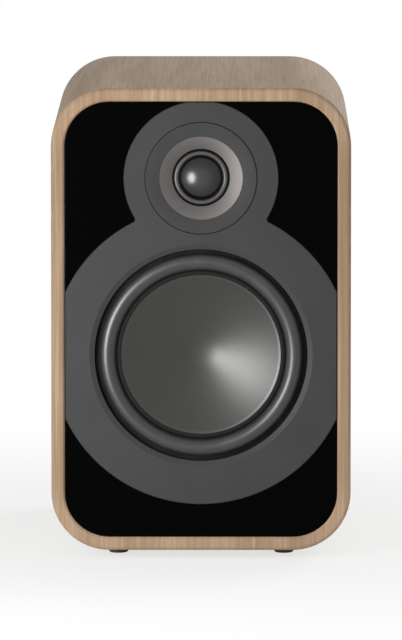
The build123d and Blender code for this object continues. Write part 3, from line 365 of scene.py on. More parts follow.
def conePulp(name):
    # pressed and coated cone: fine felted fibre under a satin coat with a little mica
    # dark and pale: the cone's own near-black tone, with an olive cast painted in for the light of the
    # surroundings
    look = dict(
        dark=(0.0110, 0.0115, 0.0064), pale=(0.0140, 0.0145, 0.0094), mica=(0.20, 0.203, 0.188),
        fibres=1500.0, lay=(1.0, 0.6, 1.0), curls=260.0, flakes=5200.0, micaShare=0.30, rough=0.370,
        depth=0.02 * mm,
    )
    m = Finish(name, Specular_IOR_Level=0.92, IOR=1.55)
    fibre = m.noise(m.stretched(*look["lay"]), look["fibres"], detail=4.0, rough=0.7)
    curl = m.noise(m.place, look["curls"], detail=4.0, rough=0.7)
    mica = m.step(m.noise(m.place, look["flakes"], detail=1.0), 0.62, 0.76)
    base = m.blend(m.step(curl, 0.3, 0.7), look["dark"], look["pale"])
    m.set("Base Color", m.blend(mica * look["micaShare"], base, look["mica"]))
    m.set("Metallic", mica * 0.25)
    m.set("Roughness", look["rough"] + fibre * 0.05)
    m.bump(fibre * 0.6 + curl * 0.4, look["depth"], strength=0.6)
    return m.material


def surroundRubber(name):
    # butyl rubber: satin, with a faint bloom in patches
    look = dict(
        black=(0.024, 0.024, 0.025), bloom=(0.050, 0.051, 0.053), patches=55.0, skin=1900.0, rough=0.33,
        depth=0.02 * mm,
    )
    m = Finish(name, Specular_IOR_Level=0.95)
    bloom = m.noise(m.place, look["patches"], detail=4.0, rough=0.6)
    skin = m.noise(m.place, look["skin"], detail=2.0, rough=0.6)
    m.set("Base Color", m.blend(m.step(bloom, 0.45, 0.8) * 0.4, look["black"], look["bloom"]))
    m.set("Roughness", look["rough"] + m.step(bloom, 0.4, 0.8) * 0.08 + skin * 0.04)
    m.bump(skin, look["depth"], strength=0.5)
    return m.material


def openFoam(name, colour, cell):
    # cells with painted shade in the pits between their walls
    look = dict(pit=0.4, wall=1.3, depth=0.15 * mm)
    m = Finish(name, Specular_IOR_Level=0.2, Roughness=0.9)
    values = {"Vector": m.place, "Scale": 1 / (cell * mm)}
    pits = m.step(m.add("ShaderNodeTexVoronoi", {"feature": "F1"}, values, "Distance"), 0.15, 0.55)
    m.set("Base Color", m.blend(pits, times(colour, look["pit"]), times(colour, look["wall"])))
    m.bump(pits, look["depth"], strength=0.8)
    return m.material


def woundWire(name, colour, wire):
    # lacquered wire in even turns up the coil
    look = dict(groove=0.35, dull=0.8, clouds=300.0, rough=0.30, depth=0.25 * wire * mm)
    m = Finish(name, Coat_Weight=0.6, Coat_Roughness=0.15, Metallic=0.9)
    turn = abs(m.maths("SINE", m.z * (math.pi / (wire * mm))))
    cloud = m.noise(m.place, look["clouds"], detail=3.0)
    crest = m.blend(cloud, colour, times(colour, look["dull"]))
    # painted shade in the grooves between the turns
    m.set("Base Color", m.blend(turn, times(colour, look["groove"]), crest))
    m.set("Roughness", look["rough"] + cloud * 0.15)
    m.bump(turn, look["depth"], strength=0.8)
    return m.material


def circuitBoard(name):
    # green board with lighter copper runs under the lacquer
    look = dict(
        green=(0.010, 0.055, 0.022), run=(0.030, 0.150, 0.055), runs=42.0, uneven=0.55, weave=5200.0,
        clouds=200.0, rough=0.35, depth=0.05 * mm,
    )
    m = Finish(name, Coat_Weight=0.3, Coat_Roughness=0.2)
    corner = [-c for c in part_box("crossover_board")[0]]
    at = m.add("ShaderNodeMapping", None, {"Vector": m.place, "Location": corner})
    cells = m.add(
        "ShaderNodeTexVoronoi", {"feature": "DISTANCE_TO_EDGE", "distance": "EUCLIDEAN"},
        {"Vector": at, "Scale": look["runs"], "Randomness": look["uneven"]}, "Distance",
    )
    run = m.step(cells, 0.06, 0.10)
    weave = m.maths("SINE", m.x * look["weave"]) * m.maths("SINE", m.y * look["weave"])
    m.set("Base Color", m.blend(run, look["green"], look["run"]))
    m.set("Roughness", look["rough"] + m.noise(m.place, look["clouds"], detail=3.0) * 0.15)
    m.bump(run * 0.8 + weave * 0.1, look["depth"], strength=0.6)
    return m.material


def wadding(name):
    # polyester fibre: off-white tufts
    look = dict(
        shade=(0.52, 0.51, 0.48), pale=(0.86, 0.85, 0.82), tufts=85.0, hairs=(900.0, 260.0, 900.0),
        depth=1.2 * mm,
    )
    m = Finish(name, Sheen_Weight=0.4, Specular_IOR_Level=0.2, Roughness=0.95)
    tuft = m.noise(m.place, look["tufts"], detail=5.0, rough=0.75)
    hair = m.noise(m.stretched(*look["hairs"]), 1.0, detail=4.0, rough=0.8)
    m.set("Base Color", m.blend(tuft * 0.6 + hair * 0.4, look["shade"], look["pale"]))
    m.bump(tuft * 0.7 + hair * 0.3, look["depth"], strength=0.9)
    return m.material


print("finishes")
looks = dict(
    oak_laminate=(oakLaminate, {}),
    fibreboard=(fibreboard, {}),
    black_back=(moulded, dict(
        colour=(0.020, 0.020, 0.020), rough=0.62, grain=620.0, depth=0.12, spec=0.4)),
    gloss_black=(glossBlack, {}),
    trim_satin=(moulded, dict(
        colour=(0.0435, 0.0449, 0.044), rough=0.46, depth=0.02, cloud=0.04, spec=0.22)),
    face_plastic=(moulded, dict(
        colour=(0.0440, 0.0451, 0.0446), rough=0.48, depth=0.02, cloud=0.04, spec=0.20)),
    black_plastic=(moulded, dict(colour=(0.016, 0.016, 0.017), rough=0.44, grain=1100.0, depth=0.05)),
    red_plastic=(moulded, dict(colour=(0.36, 0.012, 0.012), rough=0.34)),
    foot_rubber=(moulded, dict(
        colour=(0.105, 0.070, 0.050), rough=0.80, grain=900.0, depth=0.06, spec=0.3)),
    surround_rubber=(surroundRubber, {}),
    # near black and matte: the bead paints the shade between the roll and the cone
    rim_adhesive=(moulded, dict(
        colour=(0.012, 0.012, 0.0122), rough=0.62, grain=700.0, depth=0.05, spec=0.15)),
    gasket_foam=(openFoam, dict(colour=(0.030, 0.030, 0.032), cell=0.7)),
    cone_pulp=(conePulp, {}),
    former_film=(metal, dict(colour=(0.72, 0.60, 0.38), rough=0.30, spots=0.3)),
    copper_wire=(woundWire, dict(colour=(0.72, 0.32, 0.14), wire=0.9)),
    spider_cloth=(wovenCloth, dict(colour=(0.50, 0.36, 0.13), thread=0.6, depth=0.10)),
    cast_frame=(metal, dict(colour=(0.10, 0.10, 0.105), rough=0.55, spots=0.6, dark=(0.04, 0.04, 0.045))),
    plated_steel=(metal, dict(colour=(0.62, 0.61, 0.57), rough=0.30, spots=0.1)),
    black_steel=(metal, dict(colour=(0.060, 0.060, 0.065), rough=0.42, spots=0.3)),
    ferrite=(moulded, dict(
        colour=(0.050, 0.052, 0.056), rough=0.62, grain=800.0, depth=0.08, worn=(0.14, 0.14, 0.14))),
    # the dome: painted highlight in its middle, painted shade towards its edge
    dome_cloth=(clothWithPaintedLight, dict(
        crest=0.0, full=2.0, none=10.5, paintedHighlightTone=(0.034, 0.034, 0.033),
        nearRough=0.232, farRough=0.28, spec=0.80)),
    # the roll: painted highlight along its crest, painted shade on its flanks
    roll_cloth=(clothWithPaintedLight, dict(
        crest=14.8, full=0.45, none=1.25, paintedHighlightTone=(0.088, 0.088, 0.087),
        nearRough=0.28, farRough=0.42, spec=0.45)),
    waveguide_metal=(metal, dict(colour=(0.245, 0.230, 0.223), rough=0.52, brush=3000.0)),
    gilt_brass=(metal, dict(colour=(0.86, 0.62, 0.26), rough=0.22)),
    insert_brass=(metal, dict(colour=(0.70, 0.52, 0.24), rough=0.36, dark=(0.30, 0.20, 0.09))),
    neodymium=(metal, dict(colour=(0.66, 0.65, 0.62), rough=0.26)),
    circuit_board=(circuitBoard, {}),
    nylon=(moulded, dict(colour=(0.62, 0.60, 0.54), rough=0.50, spec=0.45)),
    film_can=(moulded, dict(colour=(0.52, 0.42, 0.10), rough=0.38)),
    cement=(moulded, dict(
        colour=(0.56, 0.54, 0.49), rough=0.85, grain=520.0, depth=0.15, worn=(0.34, 0.32, 0.29))),
    polyester_wadding=(wadding, {}),
    tag_board=(moulded, dict(colour=(0.27, 0.15, 0.07), rough=0.55, grain=700.0, depth=0.05)),
)
finishes = {name: make(name, **look) for name, (make, look) in looks.items()}

slotOf = {part["node"]: part["material_slot"] for part in frame["record"]["subparts"]}
for node, thing in frame["nodes"].items():
    material = finishes[slotOf[node]]
    for place in thing.material_slots:
        place.material = material
    if not thing.material_slots:
        thing.data.materials.append(material)


# geometry trees

def newTree(name, inputs):
    tree = bpy.data.node_groups.new(name, "GeometryNodeTree")
    tree.interface.new_socket(name="Geometry", in_out="INPUT", socket_type="NodeSocketGeometry")
    for title, kind in inputs.items():
        tree.interface.new_socket(name=title, in_out="INPUT", socket_type="NodeSocket" + kind)
    tree.interface.new_socket(name="Geometry", in_out="OUTPUT", socket_type="NodeSocketGeometry")
    net = Net(tree)
    return net, net.add("NodeGroupInput", out="Geometry")


def endTree(net, given, geometry):
    whole = net.add("GeometryNodeRealizeInstances", None, {"Geometry": geometry})
    whole = net.add("GeometryNodeSetMaterial", None, {"Geometry": whole, "Material": given["Finish"]})
    net.add("NodeGroupOutput", None, {"Geometry": whole})
    return net.tree


def latheTree():
    # turns an outline (across = radius, up = depth) about its axis, then turns and places it
    sizes = dict(
        path=1e-7, weld=0.002 * mm, fade=1.2 * mm, plainTo=6.4 * mm, cutFrom=7.4 * mm, least=0.1 * mm,
        sharp=2.0,
    )
    net, given = newTree("lathe", {
        "Steps": "Int", "Turn": "Vector", "Middle": "Vector", "Finish": "Material", "Flutes": "Float",
        "Flute Depth": "Float", "Flute Low": "Float", "Flute High": "Float",
    })
    outline = net.add("GeometryNodeMeshToCurve", None, {"Mesh": given})
    path = {"Resolution": given["Steps"], "Radius": sizes["path"]}
    ring = net.add("GeometryNodeCurvePrimitiveCircle", None, path)
    body = net.add("GeometryNodeCurveToMesh", None, {"Curve": ring, "Profile Curve": outline})
    body = net.add("GeometryNodeMergeByDistance", None, {"Geometry": body, "Distance": sizes["weld"]})
    # grooves along the outside, between two depths
    spot = net.add("ShaderNodeSeparateXYZ", None, {"Vector": net.add("GeometryNodeInputPosition")})
    x, y, depth = spot["X"], spot["Y"], -spot["Z"]
    radius = net.maths("SQRT", x * x + y * y)
    wave = net.maths("COSINE", net.maths("ARCTAN2", y, x) * given["Flutes"]) * 0.5 + 0.5
    low, high, fade = given["Flute Low"], given["Flute High"], sizes["fade"]
    inRange = net.step(depth, low, low + fade) * (1 - net.step(depth, high - fade, high))
    outside = net.step(radius, sizes["plainTo"], sizes["cutFrom"])
    cut = wave ** sizes["sharp"] * given["Flute Depth"] * inRange * outside
    cut = cut / net.maths("MAXIMUM", radius, sizes["least"])
    shift = net.vector(-x * cut, -y * cut, 0.0)
    body = net.add("GeometryNodeSetPosition", None, {"Geometry": body, "Offset": shift})
    placed = {"Geometry": body, "Rotation": given["Turn"], "Translation": given["Middle"]}
    body = net.add("GeometryNodeTransform", None, placed)
    body = net.add("GeometryNodeSetShadeSmooth", None, {"Geometry": body})
    return endTree(net, given, body)


def screwTree():
    # the screw that is given, once at each corner of an upright rectangle, each turned its own way
    net, given = newTree("screwsAtCorners", {
        "Across": "Float", "Tall": "Float", "Turn": "Vector", "Middle": "Vector", "Finish": "Material",
        "Seed": "Int",
    })
    corners = {"Size X": given["Across"], "Size Y": given["Tall"], "Vertices X": 2, "Vertices Y": 2}
    points = net.add("GeometryNodeMeshGrid", None, corners)
    wholeTurn = {"Min": 0.0, "Max": 6.28, "Seed": given["Seed"]}
    turn = net.add("FunctionNodeRandomValue", {"data_type": "FLOAT"}, wholeTurn, 1)
    screws = net.add("GeometryNodeInstanceOnPoints", None, {
        "Points": points, "Instance": given, "Rotation": net.vector(0.0, 0.0, turn),
    })
    screws = net.add("GeometryNodeTransform", None, {
        "Geometry": screws, "Rotation": given["Turn"], "Translation": given["Middle"],
    })
    return endTree(net, given, screws)


def keepMesh(thing):
    # what the modifiers make, as the object's own mesh
    made = bpy.data.meshes.new_from_object(thing.evaluated_get(bpy.context.evaluated_depsgraph_get()))
    thing.modifiers.clear()
    thing.data = made


def grow(name, mesh, tree, finish, inputs):
    # runs a tree on a mesh and keeps the plain result
    thing = bpy.data.objects.new(name, mesh)
    scene.collection.objects.link(thing)
    modifier = thing.modifiers.new("grow", "NODES")
    modifier.node_group = tree
    sockets = {s.name: s.identifier for s in tree.interface.items_tree if s.in_out == "INPUT"}
    for title, value in {**inputs, "Finish": finishes[finish]}.items():
        modifier[sockets[title]] = value
    keepMesh(thing)
    thing.data.name = name
    return thing


def tidyMesh(mesh, weld=1e-6):
    # doubles merged and faces turned outwards
    work = bmesh.new()
    work.from_mesh(mesh)
    bmesh.ops.remove_doubles(work, verts=work.verts, dist=weld)
    bmesh.ops.recalc_face_normals(work, faces=work.faces)
    work.to_mesh(mesh)
    work.free()


def smoothByAngle(thing, degrees=32):
    # smooth, with creases kept where two faces meet at more than the angle
    work = bmesh.new()
    work.from_mesh(thing.data)
    for face in work.faces:
        face.smooth = True
    for edge in work.edges:
        edge.smooth = len(edge.link_faces) == 2 and edge.calc_face_angle(0) < math.radians(degrees)
    work.to_mesh(thing.data)
    work.free()


def outlineMesh(points, closed=True):
    # an outline, radius and depth in millimetres; one that starts and ends on the axis stays open
    mesh = bpy.data.meshes.new("outline")
    count = len(points)
    edges = [(k, (k + 1) % count) for k in range(count if closed else count - 1)]
    mesh.from_pydata([(r * mm, d * mm, 0) for r, d in points], edges, [])
    return mesh


def arcPoints(x, y, radius, start, end, count):
    # points round a middle, from one angle to another in radians
    angles = [start + (end - start) * k / count for k in range(count + 1)]
    return [(x + radius * math.cos(a), y + radius * math.sin(a)) for a in angles]


lathe, screwsAtCorners = latheTree(), screwTree()
facing = (math.pi / 2, 0.0, 0.0)  # depth runs back, along +Y


# the rolls that carry the cone and the dome

def threePointArc(a, b, c, count):
    # points of the arc from a through b to c
    ax, ay, bx, by, cx, cy = *a, *b, *c
    d = 2 * (ax * (by - cy) + bx * (cy - ay) + cx * (ay - by))
    aa, bb, cc = ax**2 + ay**2, bx**2 + by**2, cx**2 + cy**2
    x = (aa * (by - cy) + bb * (cy - ay) + cc * (ay - by)) / d
    y = (aa * (cx - bx) + bb * (ax - cx) + cc * (bx - ax)) / d
    start, mid, end = (math.atan2(v - y, u - x) for u, v in (a, b, c))
    turn = (end - start) % (2 * math.pi)
    if (mid - start) % (2 * math.pi) > turn:
        turn -= 2 * math.pi
    return arcPoints(x, y, math.hypot(ax - x, ay - y), start, start + turn, count)


def cutEnds(faces):
    # one face over each open end of a strip, wound the other way to its neighbours
    edges = dict.fromkeys(pair for face in faces for pair in zip(face, face[1:] + face[:1]))
    after = {b: a for a, b in edges if (b, a) not in edges}
    ends = []
    while after:
        first, point = after.popitem()
        ends.append([first])
        while point != first:
            ends[-1].append(point)
            point = after.pop(point)
    return ends


def rollSectors(node, finish, sizes):
    # one turned ring, cut into closed sectors round its axis
    low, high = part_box(node)
    centre = middle(node)
    lipIn, lipOut, skin = sizes["lipIn"], (high.x - low.x) / 2 / mm, sizes["skin"]
    rollIn, rollOut, follow = sizes["rollIn"], sizes["rollOut"], sizes["follow"]
    front, back, crest = sizes["rise"], sizes["rise"] + sizes["seat"], (rollIn + rollOut) / 2
    outline = [
        (lipIn, back),
        *threePointArc((rollIn, back), (crest, 0.0), (rollOut, front), sizes["overSteps"]),
        (lipOut, front), (lipOut, front + skin),
        *threePointArc(
            (rollOut - skin, front + skin), (crest, skin), (rollIn + skin, back + skin), sizes["underSteps"]
        ),
        (lipIn, back + skin),
    ]
    top = min(d for _, d in outline)
    ring = grow(node + "_ring", outlineMesh(outline), lathe, finish, {
        "Steps": sizes["steps"], "Turn": facing, "Middle": (centre.x, low.y - top * mm, centre.z),
    })
    tidyMesh(ring.data)
    ring.data.update()
    normals = [v.normal.copy() for v in ring.data.vertices]
    wide = 2 * math.pi / sizes["sectors"]
    for k in range(sizes["sectors"]):
        faces = [
            p for p in ring.data.polygons
            if int(math.atan2(p.center.z - centre.z, p.center.x - centre.x) % (2 * math.pi) / wide) == k
        ]
        used = sorted({v for p in faces for v in p.vertices})
        place = {v: n for n, v in enumerate(used)}
        strip = [[place[v] for v in p.vertices] for p in faces]
        mesh = bpy.data.meshes.new(f"{node}_{k:02d}")
        mesh.from_pydata([ring.data.vertices[v].co for v in used], [], strip + cutEnds(strip))
        # the strip keeps the ring's own normals, so that no seam shows; the cut ends are flat
        shades = []
        for p in mesh.polygons:
            p.use_smooth = p.index < len(strip)
            shades += [normals[used[v]] if p.use_smooth else p.normal.copy() for v in p.vertices]
        mesh.normals_split_custom_set(shades)
        mesh.materials.append(finishes[finish])
        piece = bpy.data.objects.new(mesh.name, mesh)
        scene.collection.objects.link(piece)
        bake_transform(piece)
        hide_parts(node)
    bpy.data.objects.remove(ring)


def wooferRoll():
    # rubber half roll; its inner lip is seated behind the cone's rim
    sizes = dict(
        lipIn=48.8, rollIn=51.0, rollOut=61.5, rise=5.1, seat=0.9, skin=0.9, follow=(51.3, 60.9),
        overSteps=22, underSteps=18, steps=192, sectors=48,
    )
    rollSectors("woofer_surround", "surround_rubber", sizes)


def domeRoll():
    # doped cloth, drawn in one with the dome and glued a little behind its edge
    sizes = dict(
        lipIn=11.8, rollIn=12.6, rollOut=17.0, rise=1.9, seat=0.1, skin=0.4, follow=(12.8, 16.8),
        overSteps=16, underSteps=14, steps=192, sectors=24,
    )
    rollSectors("tweeter_surround", "roll_cloth", sizes)


# cone and dome

def turnedPiece(name, points, finish, node, body, steps, closed=False):
    # an outline turned about the middle of a node, its depths counted from the node's front
    low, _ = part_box(node)
    centre = middle(node)
    piece = grow(name, outlineMesh(points, closed), lathe, finish, {
        "Steps": steps, "Turn": facing, "Middle": (centre.x, low.y, centre.z),
    })
    tidyMesh(piece.data)
    smoothByAngle(piece)
    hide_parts(node)
    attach(piece, body)


def cone():
    # the pressed cone turned from its own section, and a near-black bead of adhesive over its rim, made
    # wide and dark to paint the shade between the roll and the cone
    sizes = dict(
        rim=2.2, bowl=17.5, curve=210.0, cap=40.0, thickness=0.8, capSteps=10, wallSteps=22, steps=168,
        bead=(
            (47.9, -0.02), (48.3, -0.16), (49.3, -0.26), (50.2, -0.20), (50.7, 0.12), (50.92, 0.5),
            (50.86, 0.78), (50.08, 0.78), (50.06, -0.02),
        ),
    )
    low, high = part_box("woofer_cone")
    outer, skin = (high.x - low.x) / 2 / mm, sizes["thickness"]
    inner, curve, cap = outer - sizes["rim"], sizes["curve"], sizes["cap"]
    # the middle of the long arc, which runs from the rim to the bottom of the bowl
    chord = math.hypot(inner, sizes["bowl"])
    reach = math.sqrt(curve**2 - chord**2 / 4) / chord
    cx, cy = inner / 2 - sizes["bowl"] * reach, sizes["bowl"] / 2 - inner * reach
    capMiddle = cy + math.sqrt((curve - cap) ** 2 - cx**2)
    join = math.atan2(-cx, capMiddle - cy)

    def section(extra, edge):
        # from the axis out to the rim: the round middle, then the long shallow arc
        small, large, wallSteps = cap + extra, curve + extra, sizes["wallSteps"]
        last = math.asin((edge - cx) / large)
        capArc = [join * k / sizes["capSteps"] for k in range(sizes["capSteps"] + 1)]
        wallArc = [join + (last - join) * k / wallSteps for k in range(1, wallSteps + 1)]
        points = [(small * math.sin(a), capMiddle + small * math.cos(a)) for a in capArc]
        return points + [(cx + large * math.sin(a), cy + large * math.cos(a)) for a in wallArc]

    back = cx + math.sqrt((curve + skin) ** 2 - (skin - cy) ** 2)
    outline = section(0.0, inner) + [(outer, 0.0), (outer, skin)] + section(skin, back)[::-1]
    steps = sizes["steps"]
    turnedPiece("pressed_cone", outline, "cone_pulp", "woofer_cone", "woofer_moving", steps)
    turnedPiece(
        "rim_bead_and_painted_shade", sizes["bead"], "rim_adhesive", "woofer_cone", "woofer_moving", steps, closed=True
    )


def dome():
    sizes = dict(rise=4.2, thickness=0.4, arcSteps=22, steps=144)
    low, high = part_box("tweeter_dome")
    outer, rise = (high.x - low.x) / 2 / mm, sizes["rise"]
    ball = (outer**2 + rise**2) / (2 * rise)
    inside = ball - sizes["thickness"]
    half, halfInside = math.asin(outer / ball), math.acos((ball - rise) / inside)
    shares = [k / sizes["arcSteps"] for k in range(sizes["arcSteps"] + 1)]

    def arc(radius, reach):
        return [(radius * math.sin(reach * t), ball - radius * math.cos(reach * t)) for t in shares]

    outline = arc(ball, half) + arc(inside, halfInside)[::-1]
    turnedPiece("pressed_dome", outline, "dome_cloth", "tweeter_dome", "tweeter_moving", sizes["steps"])


print("cone, dome and rolls")
cone()
dome()
wooferRoll()
domeRoll()


# knobs, screws and coils

def knobs():
    sizes = dict(
        bore=3.98, radius=7.6, edge=0.9, length=18.0, mouth=0.5, markIn=4.9, markOut=6.3, markDepth=0.8,
        flutes=14, fluteDepth=0.75, fluteFrom=2.2, fluteTo=15.8, fluteSteps=12, wallSteps=26, roundSteps=6,
    )
    r, e, h, bore = sizes["radius"], sizes["edge"], sizes["length"], sizes["bore"]
    markIn, markOut, markFloor = sizes["markIn"], sizes["markOut"], h - sizes["markDepth"]
    wall, roundSteps, quarter = h - 2 * e, sizes["roundSteps"], math.pi / 2
    outline = [(bore, 0.0), *arcPoints(r - e, e, e, -quarter, 0, roundSteps)]
    outline += [(r, e + wall * k / sizes["wallSteps"]) for k in range(1, sizes["wallSteps"])]
    outline += arcPoints(r - e, h - e, e, 0, quarter, roundSteps)
    # the groove of the colour ring, then the mouth of the bore
    outline += [(markOut, h), (markOut, markFloor), (markIn, markFloor), (markIn, h)]
    outline += [(bore + sizes["mouth"], h), (bore, h - sizes["mouth"])]
    for colour in ("red", "black"):
        node = "terminal_knob_" + colour
        low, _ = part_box(node)
        centre = middle(node)
        knob = grow("fluted_knob_" + colour, outlineMesh(outline), lathe, slotOf[node], {
            "Steps": sizes["flutes"] * sizes["fluteSteps"], "Turn": facing,
            "Middle": (centre.x, low.y, centre.z),
            "Flutes": float(sizes["flutes"]), "Flute Depth": sizes["fluteDepth"] * mm,
            "Flute Low": sizes["fluteFrom"] * mm, "Flute High": sizes["fluteTo"] * mm,
        })
        tidyMesh(knob.data)
        smoothByAngle(knob)
        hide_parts(node)
        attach(knob, colour + "_knob")


def screwMesh(sizes, length):
    # rings of points from the bottom of the hexagon socket, over the head and down the ridged shank
    around, half, head = sizes["around"], sizes["key"] / 2, sizes["head"]
    shank, root = sizes["shank"], sizes["shank"] - sizes["ridge"]
    rings = [
        ("hex", half, sizes["socketDepth"]), ("hex", half, sizes["mouthDepth"]),
        ("round", half * sizes["mouthWide"], 0.0), ("round", head - sizes["brow"], 0.0),
        ("round", head, sizes["browDepth"]), ("round", head, sizes["sideDepth"]),
    ]
    depth, pitch = sizes["headDepth"], sizes["pitch"]
    rings.append(("round", shank, depth))
    while depth + pitch < length - sizes["plain"]:
        for share, radius in ((0.25, shank), (0.5, shank), (0.75, root)):
            rings.append(("round", radius, depth + pitch * share))
        depth += pitch
    rings.append(("round", root, length - sizes["point"]))

    work = bmesh.new()
    layers = []
    for kind, radius, down in rings:
        layer = []
        for k in range(around):
            angle = 2 * math.pi * k / around
            # a hexagon reaches further out at its corners than at its flats
            flat = math.cos((angle + math.pi / 6) % (math.pi / 3) - math.pi / 6)
            r = radius / flat if kind == "hex" else radius
            layer.append(work.verts.new((r * math.cos(angle) * mm, r * math.sin(angle) * mm, -down * mm)))
        layers.append(layer)
    pairs = [(k, (k + 1) % around) for k in range(around)]
    for a, b in zip(layers, layers[1:]):
        for k, after in pairs:
            work.faces.new((a[k], a[after], b[after], b[k]))
    floor = work.verts.new((0, 0, -sizes["socketDepth"] * mm))
    tip = work.verts.new((0, 0, -length * mm))
    for k, after in pairs:
        work.faces.new((floor, layers[0][after], layers[0][k]))
        work.faces.new((tip, layers[-1][k], layers[-1][after]))
    bmesh.ops.recalc_face_normals(work, faces=work.faces)
    mesh = bpy.data.meshes.new("screw")
    work.to_mesh(mesh)
    work.free()
    return mesh


def screws():
    sizes = dict(
        head=3.3, headDepth=1.9, shank=1.75, key=2.5, socketDepth=1.2, pitch=1.25, ridge=0.45, around=24,
        mouthDepth=0.10, mouthWide=1.22, brow=0.25, browDepth=0.12, sideDepth=0.38, plain=2.0, point=1.8,
    )
    backward = (-math.pi / 2, 0.0, 0.0)
    sets = (  # node, length, which way the screws go in, seed of their turns
        ("terminal_screws", 14.0, backward, 7),
        ("woofer_screws", 17.0, facing, 3),
        ("tweeter_screws", 17.0, facing, 5),
    )
    for node, length, turn, seed in sets:
        low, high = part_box(node)
        centre = middle(node)
        centre.y = high.y if turn is backward else low.y
        across, tall = (high[axis] - low[axis] - 2 * sizes["head"] * mm for axis in (0, 2))
        made = grow(node + "_cut", screwMesh(sizes, length), screwsAtCorners, slotOf[node], {
            "Across": across, "Tall": tall, "Turn": turn, "Middle": centre, "Seed": seed,
        })
        smoothByAngle(made)
        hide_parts(node)
        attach(made, "cabinet")


def wireRow(start, end, outward, wire, arcSteps):
    # half rounds side by side from one corner of the coil to the next
    length = math.dist(start, end)
    count = round(length / wire)
    step = [(e - s) / count for s, e in zip(start, end)]
    radius = length / count / 2
    points = []
    for k in range(count):
        mid = [s + t * (k + 0.5) for s, t in zip(start, step)]
        for j in range(arcSteps):
            a = math.pi * j / arcSteps
            points.append([
                m - t / 2 * math.cos(a) + o * radius * math.sin(a) for m, t, o in zip(mid, step, outward)
            ])
    return points


def windings():
    # radii and height in millimetres; the axis is counted 0 to 2
    sizes = dict(wire=0.94, arcSteps=4, steps=64)
    coils = dict(
        bass_inductor=dict(outer=20.0, bore=9.0, height=16.0, turn=(0.0, 0.0, 0.0), axis=2),
        treble_inductor=dict(outer=13.0, bore=6.0, height=12.0, turn=(0.0, math.pi / 2, 0.0), axis=0),
    )
    w = sizes["wire"] / 2
    for node, size in coils.items():
        outer, bore, bottom, axis = size["outer"] - w, size["bore"] + w, w - size["height"], size["axis"]
        corners = [(bore, -w), (outer, -w), (outer, bottom), (bore, bottom)]
        outline = []
        for k, outward in enumerate(((0, 1), (1, 0), (0, -1), (-1, 0))):
            outline += wireRow(corners[k], corners[(k + 1) % 4], outward, sizes["wire"], sizes["arcSteps"])
        start = middle(node)
        start[axis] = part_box(node)[0][axis]
        coil = grow(node + "_turns", outlineMesh(outline), lathe, slotOf[node], {
            "Steps": sizes["steps"], "Turn": size["turn"], "Middle": start,
        })
        tidyMesh(coil.data)
        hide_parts(node)
        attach(coil, "cabinet")


def lining():
    # fibre wadding: shrunk, swelled again under pressure, then tufted
    sizes = dict(
        shrink=1.8 * mm, voxel=6 * mm, pressure=4.0, stiffness=40, frames=20, most=1.6 * mm, tuft=0.9 * mm,
        waves=6, wave=150, waveStep=70, seed=4,
    )
    mesh = frame["nodes"]["wadding"].data.copy()
    tidyMesh(mesh)
    pad = bpy.data.objects.new("wadding_lining", mesh)
    scene.collection.objects.link(pad)
    pad.data.materials.clear()
    remesh = pad.modifiers.new("even", "REMESH")
    remesh.mode, remesh.voxel_size, remesh.use_smooth_shade = "VOXEL", sizes["voxel"], True
    keepMesh(pad)
    mesh = pad.data
    for v, n in zip(mesh.vertices, [v.normal.copy() for v in mesh.vertices]):
        v.co -= n * sizes["shrink"]
    start = [v.co.copy() for v in mesh.vertices]
    cloth = pad.modifiers.new("swell", "CLOTH")
    cloth.settings.use_pressure = True
    cloth.settings.uniform_pressure_force = sizes["pressure"]
    cloth.settings.effector_weights.gravity = 0
    cloth.settings.tension_stiffness = cloth.settings.compression_stiffness = sizes["stiffness"]
    cloth.point_cache.frame_start, cloth.point_cache.frame_end = 1, sizes["frames"]
    for step in range(1, sizes["frames"] + 1):
        scene.frame_set(step)
    keepMesh(pad)
    scene.frame_set(1)
    rand = random.Random(sizes["seed"])
    phase = [rand.uniform(0, 6.28) for _ in range(sizes["waves"])]
    for v, home in zip(pad.data.vertices, start):
        move = v.co - home
        if move.length > sizes["most"]:
            move *= sizes["most"] / move.length
        waves = [
            math.sin(home[k % 3] * (sizes["wave"] + sizes["waveStep"] * k) + shift)
            for k, shift in enumerate(phase)
        ]
        v.co = home + move - v.normal * sizes["tuft"] * (0.5 + 0.5 * sum(waves) / len(waves))
    finer = pad.modifiers.new("finer", "SUBSURF")
    finer.levels = finer.render_levels = 1
    keepMesh(pad)
    for p in pad.data.polygons:
        p.use_smooth = True
    pad.data.materials.append(finishes["polyester_wadding"])
    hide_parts("wadding")
    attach(pad, "cabinet")


print("knobs, screws and coils")
knobs()
screws()
windings()
print("lining")
lining()


# floor, light and camera

def floorFinish(mirrored):
    # pale floor that fades into the white surroundings and keeps the shadow near the object
    look = dict(
        pale=(0.86, 0.86, 0.86), dull=(0.84, 0.84, 0.84), clouds=3.0, fade=(0.16, 0.6), nearShare=0.72,
    )
    m = Finish("studio_floor", Roughness=0.8, Specular_IOR_Level=0.1)
    m.set("Base Color", m.blend(m.noise(m.place, look["clouds"]) * 0.3, look["pale"], look["dull"]))
    away = m.maths("SQRT", m.x * m.x + m.y * m.y)
    ray = m.add("ShaderNodeLightPath")
    seen = m.maths("MAXIMUM", ray["Is Camera Ray"], ray["Is Glossy Ray"])
    seen = m.maths("MAXIMUM", seen, ray["Is Transmission Ray"])
    glow = m.blend(ray["Is Glossy Ray"], (1, 1, 1), (mirrored,) * 3)
    glow = m.add("ShaderNodeEmission", None, {"Color": glow})
    share = seen * (look["nearShare"] + (1 - look["nearShare"]) * m.step(away, *look["fade"]))
    mixed = m.add("ShaderNodeMixShader", None, {0: share, 1: Wire(m, m.shader.outputs[0]), 2: glow})
    m.feed(m.tree.nodes["Material Output"].inputs["Surface"], mixed)
    return m.material


